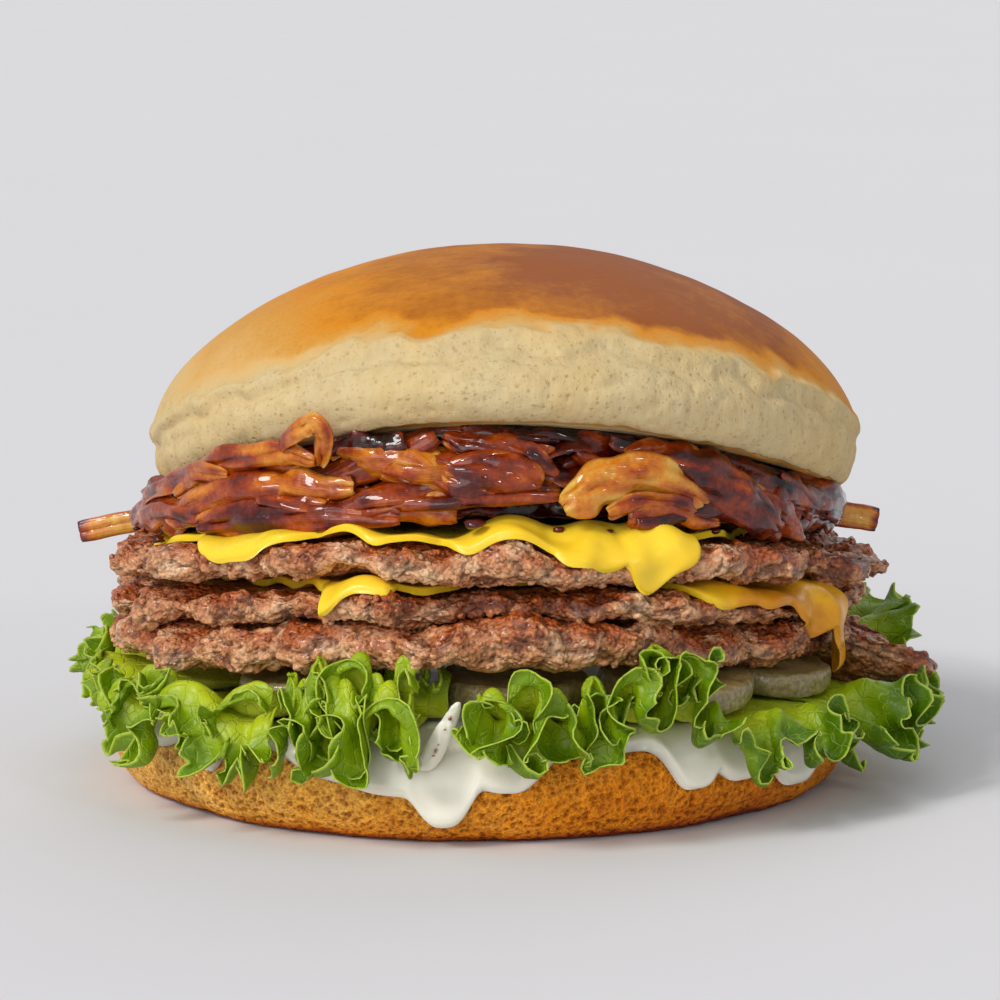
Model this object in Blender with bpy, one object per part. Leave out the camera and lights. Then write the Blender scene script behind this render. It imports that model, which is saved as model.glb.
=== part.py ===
"""Cheeseburger of three thin smashed patties, each piece its own solid.

Lengths are in millimetres in the source and become metres when a body is made. +Z is up and the
front, the side with the long drip of sauce, looks along -Y. A bearing is counted from the front,
positive to the right. The burger rests on the flat underside of its lower bun at the origin.
"""
import math
import random

import bmesh
import bpy
import numpy as np

# Driving sizes, millimetres and degrees
MM = 0.001
GAP = 0.3
COLUMNS = 64
FRONT_SHARE = 18.0
EDGE = 57.0
INNER_RING = 36.0

# Joined bodies: points nearer than this merge, and faces within an angle in degrees become one
MERGE = 0.04
ONION_FLAT = 3.0
CHEESE_FLAT = 1.0

# Heights of the layer boundaries at the edge: front, sides, back, and at the middle
HEEL_TOP = (15.0, 11.6, 13.0, 14.0)
SAUCE_TOP = (16.7, 13.3, 14.7, 15.6)
PATTY_LOW_BASE = (25.6, 18.6, 21.0, 23.2)
PATTY_LOW_TOP = (32.4, 24.2, 26.8, 28.8)
PATTY_MID_TOP = (36.6, 29.2, 31.8, 33.6)
PATTY_TOP_BASE = (38.2, 31.0, 33.6, 35.6)
PATTY_TOP_TOP = (44.2, 35.6, 38.8, 40.8)
ONION_BASE = (46.2, 37.6, 40.8, 42.8)
CROWN_BASE = (59.8, 43.9, 47.2, 52.2)

HEEL_RADIUS = 56.9
HEEL_FOOT = 51.5
HEEL_FLARE = 8.0
HEEL_SHOULDER = 4.6

SAUCE_COLUMNS = 64
SAUCE_THICK = 1.4
SAUCE_LIP = 12.4

CROWN_RADIUS = 54.0
CROWN_RIM = 50.2
CROWN_SHIFT = 3.9
CROWN_TOP = 81.0
CROWN_FULLNESS = 0.6
CROWN_COLUMNS = 44

PATTY_RADIUS = 57.0
PATTY_ROUND = 3.6

CHEESE_SIDE = 86.0
CHEESE_THICK = 1.35
BED_GAP = 0.12
UPPER_CORNER = 53.0
LOWER_CORNER = 57.2

LEAF_THICK = 0.8
RUFFLE_RADIUS = 61.0
FREE_BED = 50.0
UNDER_PICKLE = 57.0

PICKLE_THICK = 3.8
PICKLE_SIDES = 18

ONION_SEED = 11
ONION_RADIUS = 49.5

# Drips of the sauce: bearing, depth below the lip, half width
DRIPS = (
    (-84.0, 2.4, 9.0),
    (-57.0, 1.8, 7.0),
    (-43.0, 3.8, 4.2),
    (-16.0, 4.4, 9.0),
    (-5.5, 8.0, 5.2),
    (5.0, 3.6, 5.0),
    (33.0, 5.4, 4.6),
    (41.0, 3.2, 5.0),
    (53.0, 6.6, 8.0),
    (86.0, 2.6, 8.0),
    (118.0, 3.6, 13.0),
    (152.0, 2.4, 13.0),
    (183.0, 3.8, 13.0),
    (-146.0, 3.2, 13.0),
    (-114.0, 2.6, 11.0),
)
# Smear of sauce that stands up in front: bearing, radius, height, half sizes across, out and up
SAUCE_PEAK = (-5.0, 58.4, 15.6, 2.6, 1.9, 5.4)
PEAK_SIDES = 10

# Melted edges of the cheese: bearing, reach from the middle along the meat, half width
UPPER_MELT = (
    (-37.0, 57.0, 14.0),
    (-16.0, 55.0, 12.0),
    (5.0, 55.8, 12.0),
    (17.0, 56.8, 9.0),
    (28.0, 60.0, 7.0),
)
LOWER_MELT = (
    (42.0, 57.6, 9.0),
    (50.0, 59.6, 8.0),
    (59.0, 62.6, 6.5),
    (67.0, 67.2, 5.5),
)
UPPER_TURN = 33.0
LOWER_TURN = -17.0

# Lettuce leaves: name, bearings, radius to which it lies flat, edge radius, middle and edge height,
# waves, wave height, curl, rise towards its end
LEAVES = (
    ("lettuce_left", -101.0, -62.0, 43.0, 62.0, 16.0, 13.5, 3.0, 3.2, 0.7, 0.0),
    ("lettuce_front_left", -59.0, -29.0, 54.2, 63.5, 18.6, 12.8, 1.5, 3.2, 0.4, 0.0),
    ("lettuce_front", -27.5, -8.6, 54.2, 64.0, 20.4, 13.8, 3.0, 4.6, 0.9, 0.0),
    ("lettuce_front_right", -0.4, 34.0, 57.8, 63.5, 20.6, 15.4, 4.0, 4.4, 0.9, 5.5),
    ("lettuce_right", 36.0, 60.0, 58.2, 64.5, 13.8, 10.8, 2.5, 3.4, 0.8, 0.0),
    ("lettuce_right_side", 62.5, 98.0, 57.0, 70.0, 14.0, 11.5, 3.5, 4.2, 0.8, 0.0),
    ("lettuce_back_right", 101.0, 146.0, 43.0, 71.5, 15.6, 18.0, 3.6, 3.2, 0.8, 0.0),
    ("lettuce_back", 149.0, 205.0, 43.0, 66.0, 16.4, 13.5, 3.8, 3.8, 0.8, 0.0),
    ("lettuce_back_left", 208.0, 256.5, 43.0, 65.0, 16.5, 14.0, 3.4, 3.8, 0.8, 0.0),
)

# Pickle slices: name, bearing, radius of the middle, slice radius, height above the lettuce, tilt
PICKLES = (
    ("pickle_right", 38.0, 46.6, 11.4, 2.5, 6.2),
    ("pickle_far_right", 65.0, 46.8, 10.0, 2.25, 7.0),
    ("pickle_front", 7.0, 40.0, 10.8, 2.3, 3.0),
    ("pickle_left", -34.0, 42.0, 11.4, 2.4, 4.0),
)

# Meat that hangs past the outline: bearing, extra radius, half width, drop
LOWER_LOBES = (
    (62.0, -3.0, 12.0, 0.0),
    (88.0, 13.6, 6.5, 6.0),
    (-50.0, 1.2, 4.0, 1.6),
    (37.0, 0.8, 3.5, 1.4),
)
MIDDLE_LOBES = (
    (62.0, 1.4, 11.0, 0.0),
    (-1.0, -1.8, 13.0, 0.0),
)
UPPER_LOBES = (
    (83.0, 4.4, 9.0, 1.6),
    (-3.0, 0.6, 7.0, 0.9),
    (14.0, 1.0, 11.0, 1.3),
)

# Onion strips: bearings, height shares at the ends, arch, width, roll, swell outwards
BAND_STEPS = 6
BACK_BANDS = 4
BANDS = (
    (-92.0, -52.0, 0.05, 0.75, 0.10, 4.6, 8.0, 0.6),
    (-84.0, -50.0, 0.00, 0.10, 0.30, 4.4, -12.0, 1.6),
    (-66.0, -30.0, 0.95, 0.90, 0.10, 4.8, 12.0, 0.2),
    (-62.0, -24.0, 0.15, 0.25, 0.50, 6.6, -8.0, 0.8),
    (-50.0, -12.0, 0.00, 0.05, 0.10, 4.4, 6.0, 1.2),
    (-34.0, -4.0, 0.75, 0.30, 0.05, 5.6, -8.0, 0.2),
    (-16.0, 8.0, 0.85, 0.55, 0.15, 5.6, 6.0, -1.8),
    (-10.0, 13.0, 0.55, 0.05, 0.25, 8.0, 0.0, 0.4),
    (10.0, 46.0, 0.05, 0.10, 0.65, 7.6, 0.0, 1.0),
    (26.0, 48.0, 1.00, 0.90, 0.00, 4.6, 14.0, -1.0),
    (42.0, 72.0, 0.60, 0.10, 0.10, 5.0, -6.0, 0.8),
    (58.0, 94.0, 0.30, 0.20, 0.20, 4.6, 8.0, 0.6),
    (50.0, 92.0, 1.00, 0.95, 0.00, 4.0, 0.0, 1.4),
)
# Back strips: spans of the height shares at the ends, of the arch and of the swell
BACK_SPANS = ((0.0, 0.9), (0.0, 0.9), (-0.2, 0.3), (-0.3, 0.9))
# Strips in front of the rim of the upper bun: bearings, height over the rim at the ends and between, width
OVER_RIM = (
    (-84.0, -46.0, -3.6, -0.6, 4.4),
    (-60.0, -29.0, -3.0, 0.4, 4.6),
)
# Loose ends that stick out: path, width, roll
STUBS = (
    (((-44.0, 12.0, 40.2), (-50.0, 13.0, 39.2), (-56.0, 14.0, 37.6), (-61.5, 15.0, 36.2)), 5.0, 25.0),
    (((46.0, 4.0, 41.8), (52.0, 5.0, 40.8), (57.0, 6.0, 39.4), (62.3, 7.0, 37.8)), 5.0, 25.0),
    (((-22.0, -44.0, 53.5), (-24.4, -47.0, 56.0), (-26.0, -50.0, 58.4), (-26.8, -52.4, 60.6)), 4.6, 20.0),
)

# Places where a boundary is lifted at the edge, by its wave: bearing, rise, half width
LIFTS = {23: ((-19.0, 1.5, 10.0),), 24: ((-9.0, 0.9, 8.0),)}

COLOURS = {
    "crust": (0.46, 0.18, 0.04),
    "crumb": (0.42, 0.15, 0.035),
    "meat": (0.24, 0.105, 0.055),
    "cheese": (0.82, 0.42, 0.03),
    "onion": (0.2, 0.035, 0.01),
    "leaf": (0.16, 0.3, 0.03),
    "pickle": (0.19, 0.18, 0.06),
    "sauce": (0.82, 0.78, 0.7),
}


def clear_scene():
    """Removes every object that the new file starts with."""
    for item in list(bpy.data.objects):
        bpy.data.objects.remove(item, do_unlink=True)


def material(name, colour, roughness):
    """A plain Principled material of one colour."""
    made = bpy.data.materials.new(name)
    made.use_nodes = True
    shader = made.node_tree.nodes["Principled BSDF"]
    shader.inputs["Base Color"].default_value = (*colour, 1.0)
    shader.inputs["Roughness"].default_value = roughness
    shader.inputs["Metallic"].default_value = 0.0
    made.diffuse_color = (*colour, 1.0)
    return made


def body(name, points, faces, finish):
    """One closed object from points in millimetres, its faces turned outwards."""
    mesh = bpy.data.meshes.new(name)
    mesh.from_pydata([tuple(p) for p in np.asarray(points) * MM], [], [tuple(f) for f in faces])
    work = bmesh.new()
    work.from_mesh(mesh)
    bmesh.ops.triangulate(work, faces=work.faces[:])
    bmesh.ops.recalc_face_normals(work, faces=work.faces[:])
    if work.calc_volume(signed=True) < 0.0:
        bmesh.ops.reverse_faces(work, faces=work.faces[:])
    work.to_mesh(mesh)
    work.free()
    made = bpy.data.objects.new(name, mesh)
    bpy.context.collection.objects.link(made)
    mesh.materials.append(finish)
    for face in mesh.polygons:
        face.use_smooth = True
    return made


def bearings(count=COLUMNS):
    """Bearings in degrees all round, starting at the front and lying closer together there."""
    turn = np.arange(count) * 360.0 / count
    return turn - FRONT_SHARE * np.sin(np.radians(turn))


def bump(angle, centre, half):
    """A smooth bump of height one round a bearing, nothing beyond about twice the half width."""
    away = (np.asarray(angle, float) - centre + 180.0) % 360.0 - 180.0
    return np.exp(-((away / half) ** 2))


def tongue(angle, centre, half):
    """A bump of height one with a broad, round top."""
    away = (np.asarray(angle, float) - centre + 180.0) % 360.0 - 180.0
    return np.exp(-((away / half) ** 4))


def ripple(angle, seed, orders, size):
    """Sum of a few sines of the bearing with seeded phases and sizes."""
    rng = random.Random(seed)
    total = np.zeros_like(np.asarray(angle, float))
    for order in orders:
        phase = rng.uniform(0.0, 2.0 * math.pi)
        total = total + rng.uniform(0.6, 1.0) * np.sin(np.radians(angle) * order + phase)
    return total * size / math.sqrt(len(orders))


def edge_height(level, angle):
    """Height of a boundary at the edge: front, sides and back joined by two cosines."""
    front, side, back, _ = level
    twist = (front + back - 2.0 * side) / 4.0
    lean = (front - back) / 2.0
    return side + twist + lean * np.cos(np.radians(angle)) + twist * np.cos(2.0 * np.radians(angle))


def level_at(level, radius, angle, wave=0):
    """Height of a boundary at a radius: parabola from the middle to the edge, rippled at the edge."""
    share = (np.asarray(radius, float) / EDGE) ** 2
    height = level[3] + (edge_height(level, angle) - level[3]) * share
    if wave:
        fade = np.clip((np.asarray(radius, float) - INNER_RING) / (EDGE - INNER_RING), 0.0, 1.3)
        rough = ripple(angle, wave, (5, 9, 14), 0.8)
        for where, rise, half in LIFTS.get(wave, ()):
            rough = rough + rise * bump(angle, where, half)
        height = height + rough * fade ** 2
    return height


def place(radius, angle, height, shift=0.0):
    """Points of a bearing, radius and height."""
    turn = np.radians(angle)
    return np.stack([shift + radius * np.sin(turn), -radius * np.cos(turn), height], axis=-1)


def shell_faces(columns, rings):
    """Faces of a closed polar shell: rings of points between a low and a high pole.

    The quads are cut so that two shells lying on each other have the same facets.
    """
    faces = []
    low = columns * rings
    high = low + 1
    for c in range(columns):
        n = (c + 1) % columns
        faces.append((low, n * rings, c * rings))
        for r in range(rings - 1):
            a, b = c * rings + r, n * rings + r
            if r < rings // 2:
                faces.append((a, b, a + 1))
                faces.append((b, b + 1, a + 1))
            else:
                faces.append((a, b, b + 1))
                faces.append((a, b + 1, a + 1))
        faces.append((c * rings + rings - 1, n * rings + rings - 1, high))
    return faces


def shell(name, rings, low, high, finish):
    """Polar shell of a list of rings, each one point per bearing, and the two poles."""
    grid = np.stack(rings, axis=1)
    points = np.concatenate([grid.reshape(-1, 3), [low, high]])
    return body(name, points, shell_faces(grid.shape[0], grid.shape[1]), finish)


def fuse(target, pieces, operation="UNION", flat=0.0):
    """Joins closed pieces onto a target, or takes them from it, in one step and removes them."""
    parts = bpy.data.collections.new("pieces")
    bpy.context.scene.collection.children.link(parts)
    for piece in pieces:
        for home in list(piece.users_collection):
            home.objects.unlink(piece)
        parts.objects.link(piece)
    join = target.modifiers.new("join", "BOOLEAN")
    join.operation = operation
    join.operand_type = "COLLECTION"
    join.collection = parts
    join.solver = "EXACT"
    bpy.context.view_layer.update()
    shape = bpy.data.meshes.new_from_object(target.evaluated_get(bpy.context.evaluated_depsgraph_get()))
    target.modifiers.clear()
    target.data = shape
    work = bmesh.new()
    work.from_mesh(shape)
    bmesh.ops.remove_doubles(work, verts=work.verts[:], dist=MERGE * MM)
    if flat:
        limit = math.radians(flat)
        bmesh.ops.dissolve_limit(work, angle_limit=limit, verts=work.verts[:], edges=work.edges[:])
    bmesh.ops.triangulate(work, faces=work.faces[:])
    work.to_mesh(shape)
    work.free()
    for piece in pieces:
        bpy.data.objects.remove(piece, do_unlink=True)
    bpy.data.collections.remove(parts)


class Rim:
    """Edge of a layer that other pieces hang over: a rounded edge below a boundary."""

    def __init__(self, top, middle, height, radius, roundness):
        self.top = top
        self.middle = middle
        self.height = height
        self.radius = radius
        self.roundness = roundness

    def side(self, degrees, grow):
        """Point of the rounded edge at an angle above its middle, grown outwards."""
        turn = math.radians(degrees)
        radius = self.radius - self.roundness + (self.roundness + grow) * math.cos(turn)
        return radius, self.middle + (self.height + grow) * math.sin(turn)


def patty_edge(angle, seed, spread):
    """Radius of a patty by bearing: a lobed outline."""
    return PATTY_RADIUS + ripple(angle, seed, (3, 7, 11, 17, 23), spread)


def patty(name, base, top, waves, seed, finish, lobes=(), grow=0.0):
    """Thin lobed patty between two boundaries with a rounded, uneven edge.

    Lobes are bearing, extra radius, half width and drop. Returns the object and its rim.
    """
    angle = bearings()
    radius = patty_edge(angle, seed, 2.3)
    drop = np.zeros_like(angle)
    for where, extra, half_width, fall in lobes:
        radius = radius + extra * bump(angle, where, half_width)
        drop = drop + fall * bump(angle, where, half_width)
    start = np.minimum(radius - PATTY_ROUND, EDGE - 2.4)
    low = level_at(base, start, angle, waves[0]) + GAP / 2.0
    high = level_at(top, start, angle, waves[1]) - GAP / 2.0
    rim = Rim(top, 0.5 * (low + high) - drop, 0.5 * (high - low), radius, radius - start)
    inside = np.full_like(angle, INNER_RING)
    rings = [place(inside, angle, level_at(base, inside, angle) + GAP / 2.0 - grow)]
    rings.append(place(start, angle, low - grow))
    for turn in (-42.0, 0.0, 42.0):
        reach, height = rim.side(turn, grow)
        rings.append(place(reach, angle, height))
    rings.append(place(start, angle, high + grow))
    rings.append(place(inside, angle, level_at(top, inside, angle) - GAP / 2.0 + grow))
    low_pole = (0.0, 0.0, base[3] + GAP / 2.0 - grow)
    high_pole = (0.0, 0.0, top[3] - GAP / 2.0 + grow)
    return shell(name, rings, low_pole, high_pole, finish), rim


def drape(name, rim, top_wave, reach, thick, finish, bead=1.0):
    """Soft sheet lying on a layer and hanging over its rounded edge by a length per bearing."""
    angle = bearings(len(reach))
    start = rim.radius - rim.roundness
    arc = 0.5 * math.pi * np.sqrt(0.5 * (rim.roundness ** 2 + rim.height ** 2))
    stations = [start, start + 0.533 * arc, start + arc]
    flat_in = level_at(rim.top, INNER_RING, angle) - GAP / 2.0
    flat_out = level_at(rim.top, start, angle, top_wave) - GAP / 2.0
    inside = []
    outside = []
    lengths = []
    last = len(stations)
    for k, station in enumerate(stations):
        lengths.append(np.minimum(station, reach - 0.45 * (last - k)))
    lengths.append(reach)
    for target, grow in ((inside, GAP), (outside, GAP + thick)):
        ring = np.full_like(angle, INNER_RING)
        target.append(place(ring, angle, flat_in + grow))
        for k, length in enumerate(lengths):
            share = np.clip((length - start) / arc, 0.0, 1.0)
            turn = 0.5 * math.pi * (1.0 - share)
            extra = grow * (bead if k == last and grow > GAP else 1.0)
            slope = (flat_out - flat_in) / (start - INNER_RING)
            flat = flat_in + slope * (length - INNER_RING) + grow
            radius = np.where(length <= start, length, start + (rim.roundness + extra) * np.cos(turn))
            height = np.where(length <= start, flat, rim.middle + (rim.height + grow) * np.sin(turn))
            hang = np.maximum(length - start - arc, 0.0)
            target.append(place(radius, angle, height - hang))
    rings = inside + outside[::-1]
    low = (0.0, 0.0, rim.top[3] - GAP / 2.0 + GAP)
    high = (0.0, 0.0, rim.top[3] - GAP / 2.0 + GAP + thick)
    return shell(name, rings, low, high, finish)


def square_reach(angle, side, turn, corner, melt):
    """Reach of a square slice by bearing, its rounded corners at the turn, with melted tongues."""
    off = np.radians((np.asarray(angle, float) - turn + 45.0) % 90.0 - 45.0)
    square = np.minimum(side / 2.0 / np.cos(np.pi / 4.0 - np.abs(off)), corner)
    least = side / 2.0
    for where, reach, half in melt:
        square = np.maximum(square, least + (reach - least) * np.sqrt(tongue(angle, where, half)))
    return square


def heel_rim(angle):
    """Edge of the lower bun at given bearings, for the sauce to hang over."""
    wide = HEEL_RADIUS + ripple(angle, 3, (2, 3, 5), 0.35)
    half = edge_height(HEEL_TOP, angle) - GAP / 2.0 - HEEL_FLARE
    return Rim(HEEL_TOP, np.full_like(angle, HEEL_FLARE), half, wide, np.full_like(angle, HEEL_SHOULDER))


def make_heel(finish):
    """Lower bun: a low flared disc with a flat foot and a rounded shoulder."""
    angle = bearings()
    rim = heel_rim(angle)
    wide = rim.radius
    start = wide - HEEL_SHOULDER
    foot = HEEL_FOOT + ripple(angle, 4, (2, 4), 0.3)
    shoulder, height = rim.side(42.0, 0.0)
    inside = np.full_like(angle, INNER_RING)
    rings = [
        place(foot, angle, np.zeros_like(angle)),
        place(foot + 0.45 * (wide - foot), angle, np.full_like(angle, 1.0)),
        place(foot + 0.82 * (wide - foot), angle, np.full_like(angle, 3.2)),
        place(wide, angle, np.full_like(angle, HEEL_FLARE)),
        place(shoulder, angle, height),
        place(start, angle, rim.middle + rim.height),
        place(inside, angle, level_at(HEEL_TOP, inside, angle) - GAP / 2.0),
    ]
    return shell("bun_bottom", rings, (0.0, 0.0, 0.0), (0.0, 0.0, HEEL_TOP[3] - GAP / 2.0), finish)


def sauce_low(angle):
    """Height of the lower edge of the sauce by bearing: the lip less the drips."""
    low = SAUCE_LIP + (edge_height(HEEL_TOP, angle) - HEEL_TOP[0]) * 0.6
    for where, depth, half in DRIPS:
        low = low - depth * tongue(angle, where, half)
    return np.maximum(low, 2.6)


def make_sauce(finish):
    """White sauce: a layer on the lower bun whose edge hangs down in round drips."""
    angle = bearings(SAUCE_COLUMNS)
    rim = heel_rim(angle)
    start = rim.radius - rim.roundness
    arc = 0.5 * math.pi * np.sqrt(0.5 * (rim.roundness ** 2 + rim.height ** 2))
    drop = rim.middle + rim.height - sauce_low(angle)
    share = np.clip(drop / rim.height, 0.0, 1.0)
    round_part = arc * (2.0 / math.pi) * np.arccos(1.0 - share)
    reach = start + np.where(drop < rim.height, round_part, arc + drop - rim.height)
    made = drape("white_sauce", rim, 0, reach, SAUCE_THICK, finish, bead=1.25)
    where, radius, height, half_width, half_depth, half_height = SAUCE_PEAK
    around = np.arange(PEAK_SIDES) * 2.0 * math.pi / PEAK_SIDES
    grid = []
    for rise in np.radians((-60.0, -25.0, 12.0, 50.0)):
        wide = math.cos(rise) * (1.0 - 0.25 * math.sin(rise))
        out = radius + half_depth * wide * np.cos(around)
        along = half_width * wide * np.sin(around)
        level = np.full_like(around, height + half_height * math.sin(rise))
        grid.append(place(out, where + np.degrees(along / radius), level))
    low = place(np.array(radius), where, np.array(height - half_height))
    high = place(np.array(radius), where, np.array(height + half_height))
    peak = shell("sauce_peak", grid, low, high, finish)
    fuse(made, [peak])
    return made


def under_flap(angle):
    """How much of a leaf is held down by the hanging meat beside it, by bearing."""
    where, _, half, _ = LOWER_LOBES[1]
    return bump(angle, where, 2.0 * half)


def make_leaf(spec, finish):
    """One ruffled leaf: a thin solid from under the patties out over the edge of the bun."""
    name, begin, end, bed, out, middle_height, tip, waves, rise, curl, lift = spec
    columns = max(10, int(round(waves * 5.0)) + 1)
    across = np.linspace(0.0, 1.0, columns)
    angle = begin + (end - begin) * across
    phase = 2.0 * math.pi * waves * across + math.radians(begin) * 3.0
    held = under_flap(angle)
    trim = np.sin(math.pi * np.clip(across, 0.02, 0.98)) ** 0.35
    room = GAP + 0.5 * LEAF_THICK + 0.05
    low = level_at(SAUCE_TOP, 50.0, angle) + room
    high = level_at(PATTY_LOW_BASE, 52.0, angle, 21) - room - 2.0 * GAP
    free = 1.0 - 0.6 * held
    swing = 0.42 * (high - low) * np.sin(phase)
    ridge = middle_height + 0.5 * lift * across ** 3 - 2.5 * held + rise * free * np.sin(phase)
    over = max(RUFFLE_RADIUS, bed + 3.4) + 0.5 * np.cos(2.0 * phase)
    if bed < UNDER_PICKLE:
        loose = 0.2 * (high - low) + 0.25 * swing if bed < FREE_BED else 0.0
        half_way = max(53.0, 0.5 * (bed + RUFFLE_RADIUS))
        stations = ((26.0, level_at(SAUCE_TOP, 26.0, angle) + room), (bed, low + loose))
        stations += ((half_way, 0.5 * (low + high) + swing),)
    else:
        stations = tuple((r, level_at(SAUCE_TOP, r, angle) + room + 0.1) for r in (INNER_RING, 47.0, bed))
    rows = [(np.full_like(angle, radius), angle, height) for radius, height in stations]
    rows.append((over, angle, np.maximum(ridge, level_at(SAUCE_TOP, 58.0, angle) - 1.0)))
    lip = over + (out - over) * (0.5 + 0.5 * trim)
    sway = -curl * (end - begin) / (2.0 * math.pi * waves) * np.sin(2.0 * phase) * trim
    edge = tip + lift * across ** 3 - 1.5 * held + rise * free * np.sin(phase)
    rows.append((lip + 0.9 * np.cos(2.0 * phase), angle + sway, edge))
    middle = np.stack([place(r, a, z) for r, a, z in rows], axis=1)
    along = np.gradient(middle, axis=0)
    outward = np.gradient(middle, axis=1)
    normal = np.cross(along, outward)
    normal /= np.linalg.norm(normal, axis=-1, keepdims=True)
    count, depth = middle.shape[:2]
    top = middle + normal * LEAF_THICK / 2.0
    under = middle - normal * LEAF_THICK / 2.0
    points = np.concatenate([top.reshape(-1, 3), under.reshape(-1, 3)])
    other = count * depth
    faces = []
    for i in range(count - 1):
        for j in range(depth - 1):
            a, b, c, d = i * depth + j, (i + 1) * depth + j, (i + 1) * depth + j + 1, i * depth + j + 1
            faces.append((a, b, c))
            faces.append((a, c, d))
            faces.append((other + a, other + c, other + b))
            faces.append((other + a, other + d, other + c))
    rim = [i * depth for i in range(count)]
    rim += [(count - 1) * depth + j for j in range(1, depth)]
    rim += [i * depth + depth - 1 for i in range(count - 2, -1, -1)]
    rim += [j for j in range(depth - 2, 0, -1)]
    for k, first in enumerate(rim):
        second = rim[(k + 1) % len(rim)]
        faces.append((first, other + first, other + second))
        faces.append((first, other + second, second))
    return body(name, points, faces, finish)


def make_pickle(spec, finish):
    """Thick pickle slice: a disc with rounded edges, tilted outwards and bedded on the lettuce."""
    name, where, radius, size, height, tilt = spec
    around = np.arange(PICKLE_SIDES) * 2.0 * math.pi / PICKLE_SIDES
    wave = 1.0 + 0.025 * np.sin(5.0 * around + where)
    half = PICKLE_THICK / 2.0
    rings = []
    for share, lift in ((0.9, -half), (1.0, -0.55 * half), (1.0, 0.55 * half), (0.9, half)):
        ring = np.stack([share * size * wave * np.cos(around), share * size * wave * np.sin(around),
                         np.full_like(around, lift)], axis=-1)
        rings.append(ring)
    lean = math.radians(tilt)
    turn = math.radians(where)
    centre_z = float(level_at(SAUCE_TOP, radius, where)) + height + half
    grid = np.stack(rings, axis=1)
    points = np.concatenate([grid.reshape(-1, 3), [(0.0, 0.0, -half), (0.0, 0.0, half)]])
    outward = points[:, 1] * math.cos(lean) + points[:, 2] * math.sin(lean)
    upward = -points[:, 1] * math.sin(lean) + points[:, 2] * math.cos(lean)
    along = points[:, 0]
    x = (radius + outward) * math.sin(turn) + along * math.cos(turn)
    y = -(radius + outward) * math.cos(turn) + along * math.sin(turn)
    placed = np.stack([x, y, upward + centre_z], axis=-1)
    return body(name, placed, shell_faces(PICKLE_SIDES, len(rings)), finish)


def make_crown(finish):
    """Upper bun: a dome leaning back, its cut rim high at the front and low at the sides."""
    angle = bearings(CROWN_COLUMNS)
    rim = edge_height(CROWN_BASE, angle) + GAP / 2.0
    inside = np.full_like(angle, INNER_RING)
    rings = [place(inside, angle, level_at(CROWN_BASE, inside, angle) + GAP / 2.0, CROWN_SHIFT)]
    rings.append(place(np.full_like(angle, CROWN_RIM), angle, rim, CROWN_SHIFT))
    wide = CROWN_RADIUS + ripple(angle, 8, (2, 3, 5), 0.3)
    swell = rim + 0.22 * (CROWN_TOP - rim)
    rings.append(place(0.35 * CROWN_RIM + 0.65 * wide, angle, rim + 0.25 * (swell - rim), CROWN_SHIFT))
    rings.append(place(wide, angle, swell, CROWN_SHIFT))
    for share in (0.985, 0.94, 0.87, 0.77, 0.63, 0.46, 0.26):
        rise = (1.0 - share ** 2) ** CROWN_FULLNESS
        dent = 0.25 * ripple(angle, 9, (4, 6), 1.0) * share * (1.0 - share) * 4.0
        rings.append(place(share * wide, angle, swell + (CROWN_TOP - swell) * rise + dent, CROWN_SHIFT))
    low = (CROWN_SHIFT, 0.0, CROWN_BASE[3] + GAP / 2.0)
    return shell("bun_top", rings, low, (CROWN_SHIFT, 0.0, CROWN_TOP), finish)


def crown_under(radius, angle):
    """Height of the cut face of the upper bun over a point given from the middle of the burger."""
    x = radius * np.sin(np.radians(angle)) - CROWN_SHIFT
    y = -radius * np.cos(np.radians(angle))
    away = np.hypot(x, y)
    turn = np.degrees(np.arctan2(x, -y))
    share = np.clip((away - INNER_RING) / (CROWN_RIM - INNER_RING), 0.0, 1.0)
    inner = level_at(CROWN_BASE, np.minimum(away, INNER_RING), turn)
    return inner + (edge_height(CROWN_BASE, turn) - inner) * share


def onion_core():
    """Points and faces of the inner mass of the onions between the top patty and the upper bun."""
    angle = bearings(32)
    radius = ONION_RADIUS + ripple(angle, 31, (3, 5, 8), 0.8)
    low = level_at(ONION_BASE, radius, angle) + GAP
    high = crown_under(radius - 1.8, angle) - 2.0 * GAP
    inside = np.full_like(angle, INNER_RING)
    rings = [
        place(inside, angle, level_at(ONION_BASE, INNER_RING, angle) + GAP),
        place(radius - 1.0, angle, low),
        place(radius + 0.9, angle, low + 0.3 * (high - low)),
        place(radius + 0.2, angle, low + 0.75 * (high - low)),
        place(radius - 1.8, angle, high),
        place(np.full_like(angle, 30.0), angle, crown_under(30.0, angle) - GAP - 0.6),
    ]
    grid = np.stack(rings, axis=1)
    poles = [(0.0, 0.0, ONION_BASE[3] + GAP), (0.0, 0.0, CROWN_BASE[3] - GAP - 0.6)]
    return np.concatenate([grid.reshape(-1, 3), poles]), shell_faces(grid.shape[0], grid.shape[1])


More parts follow.
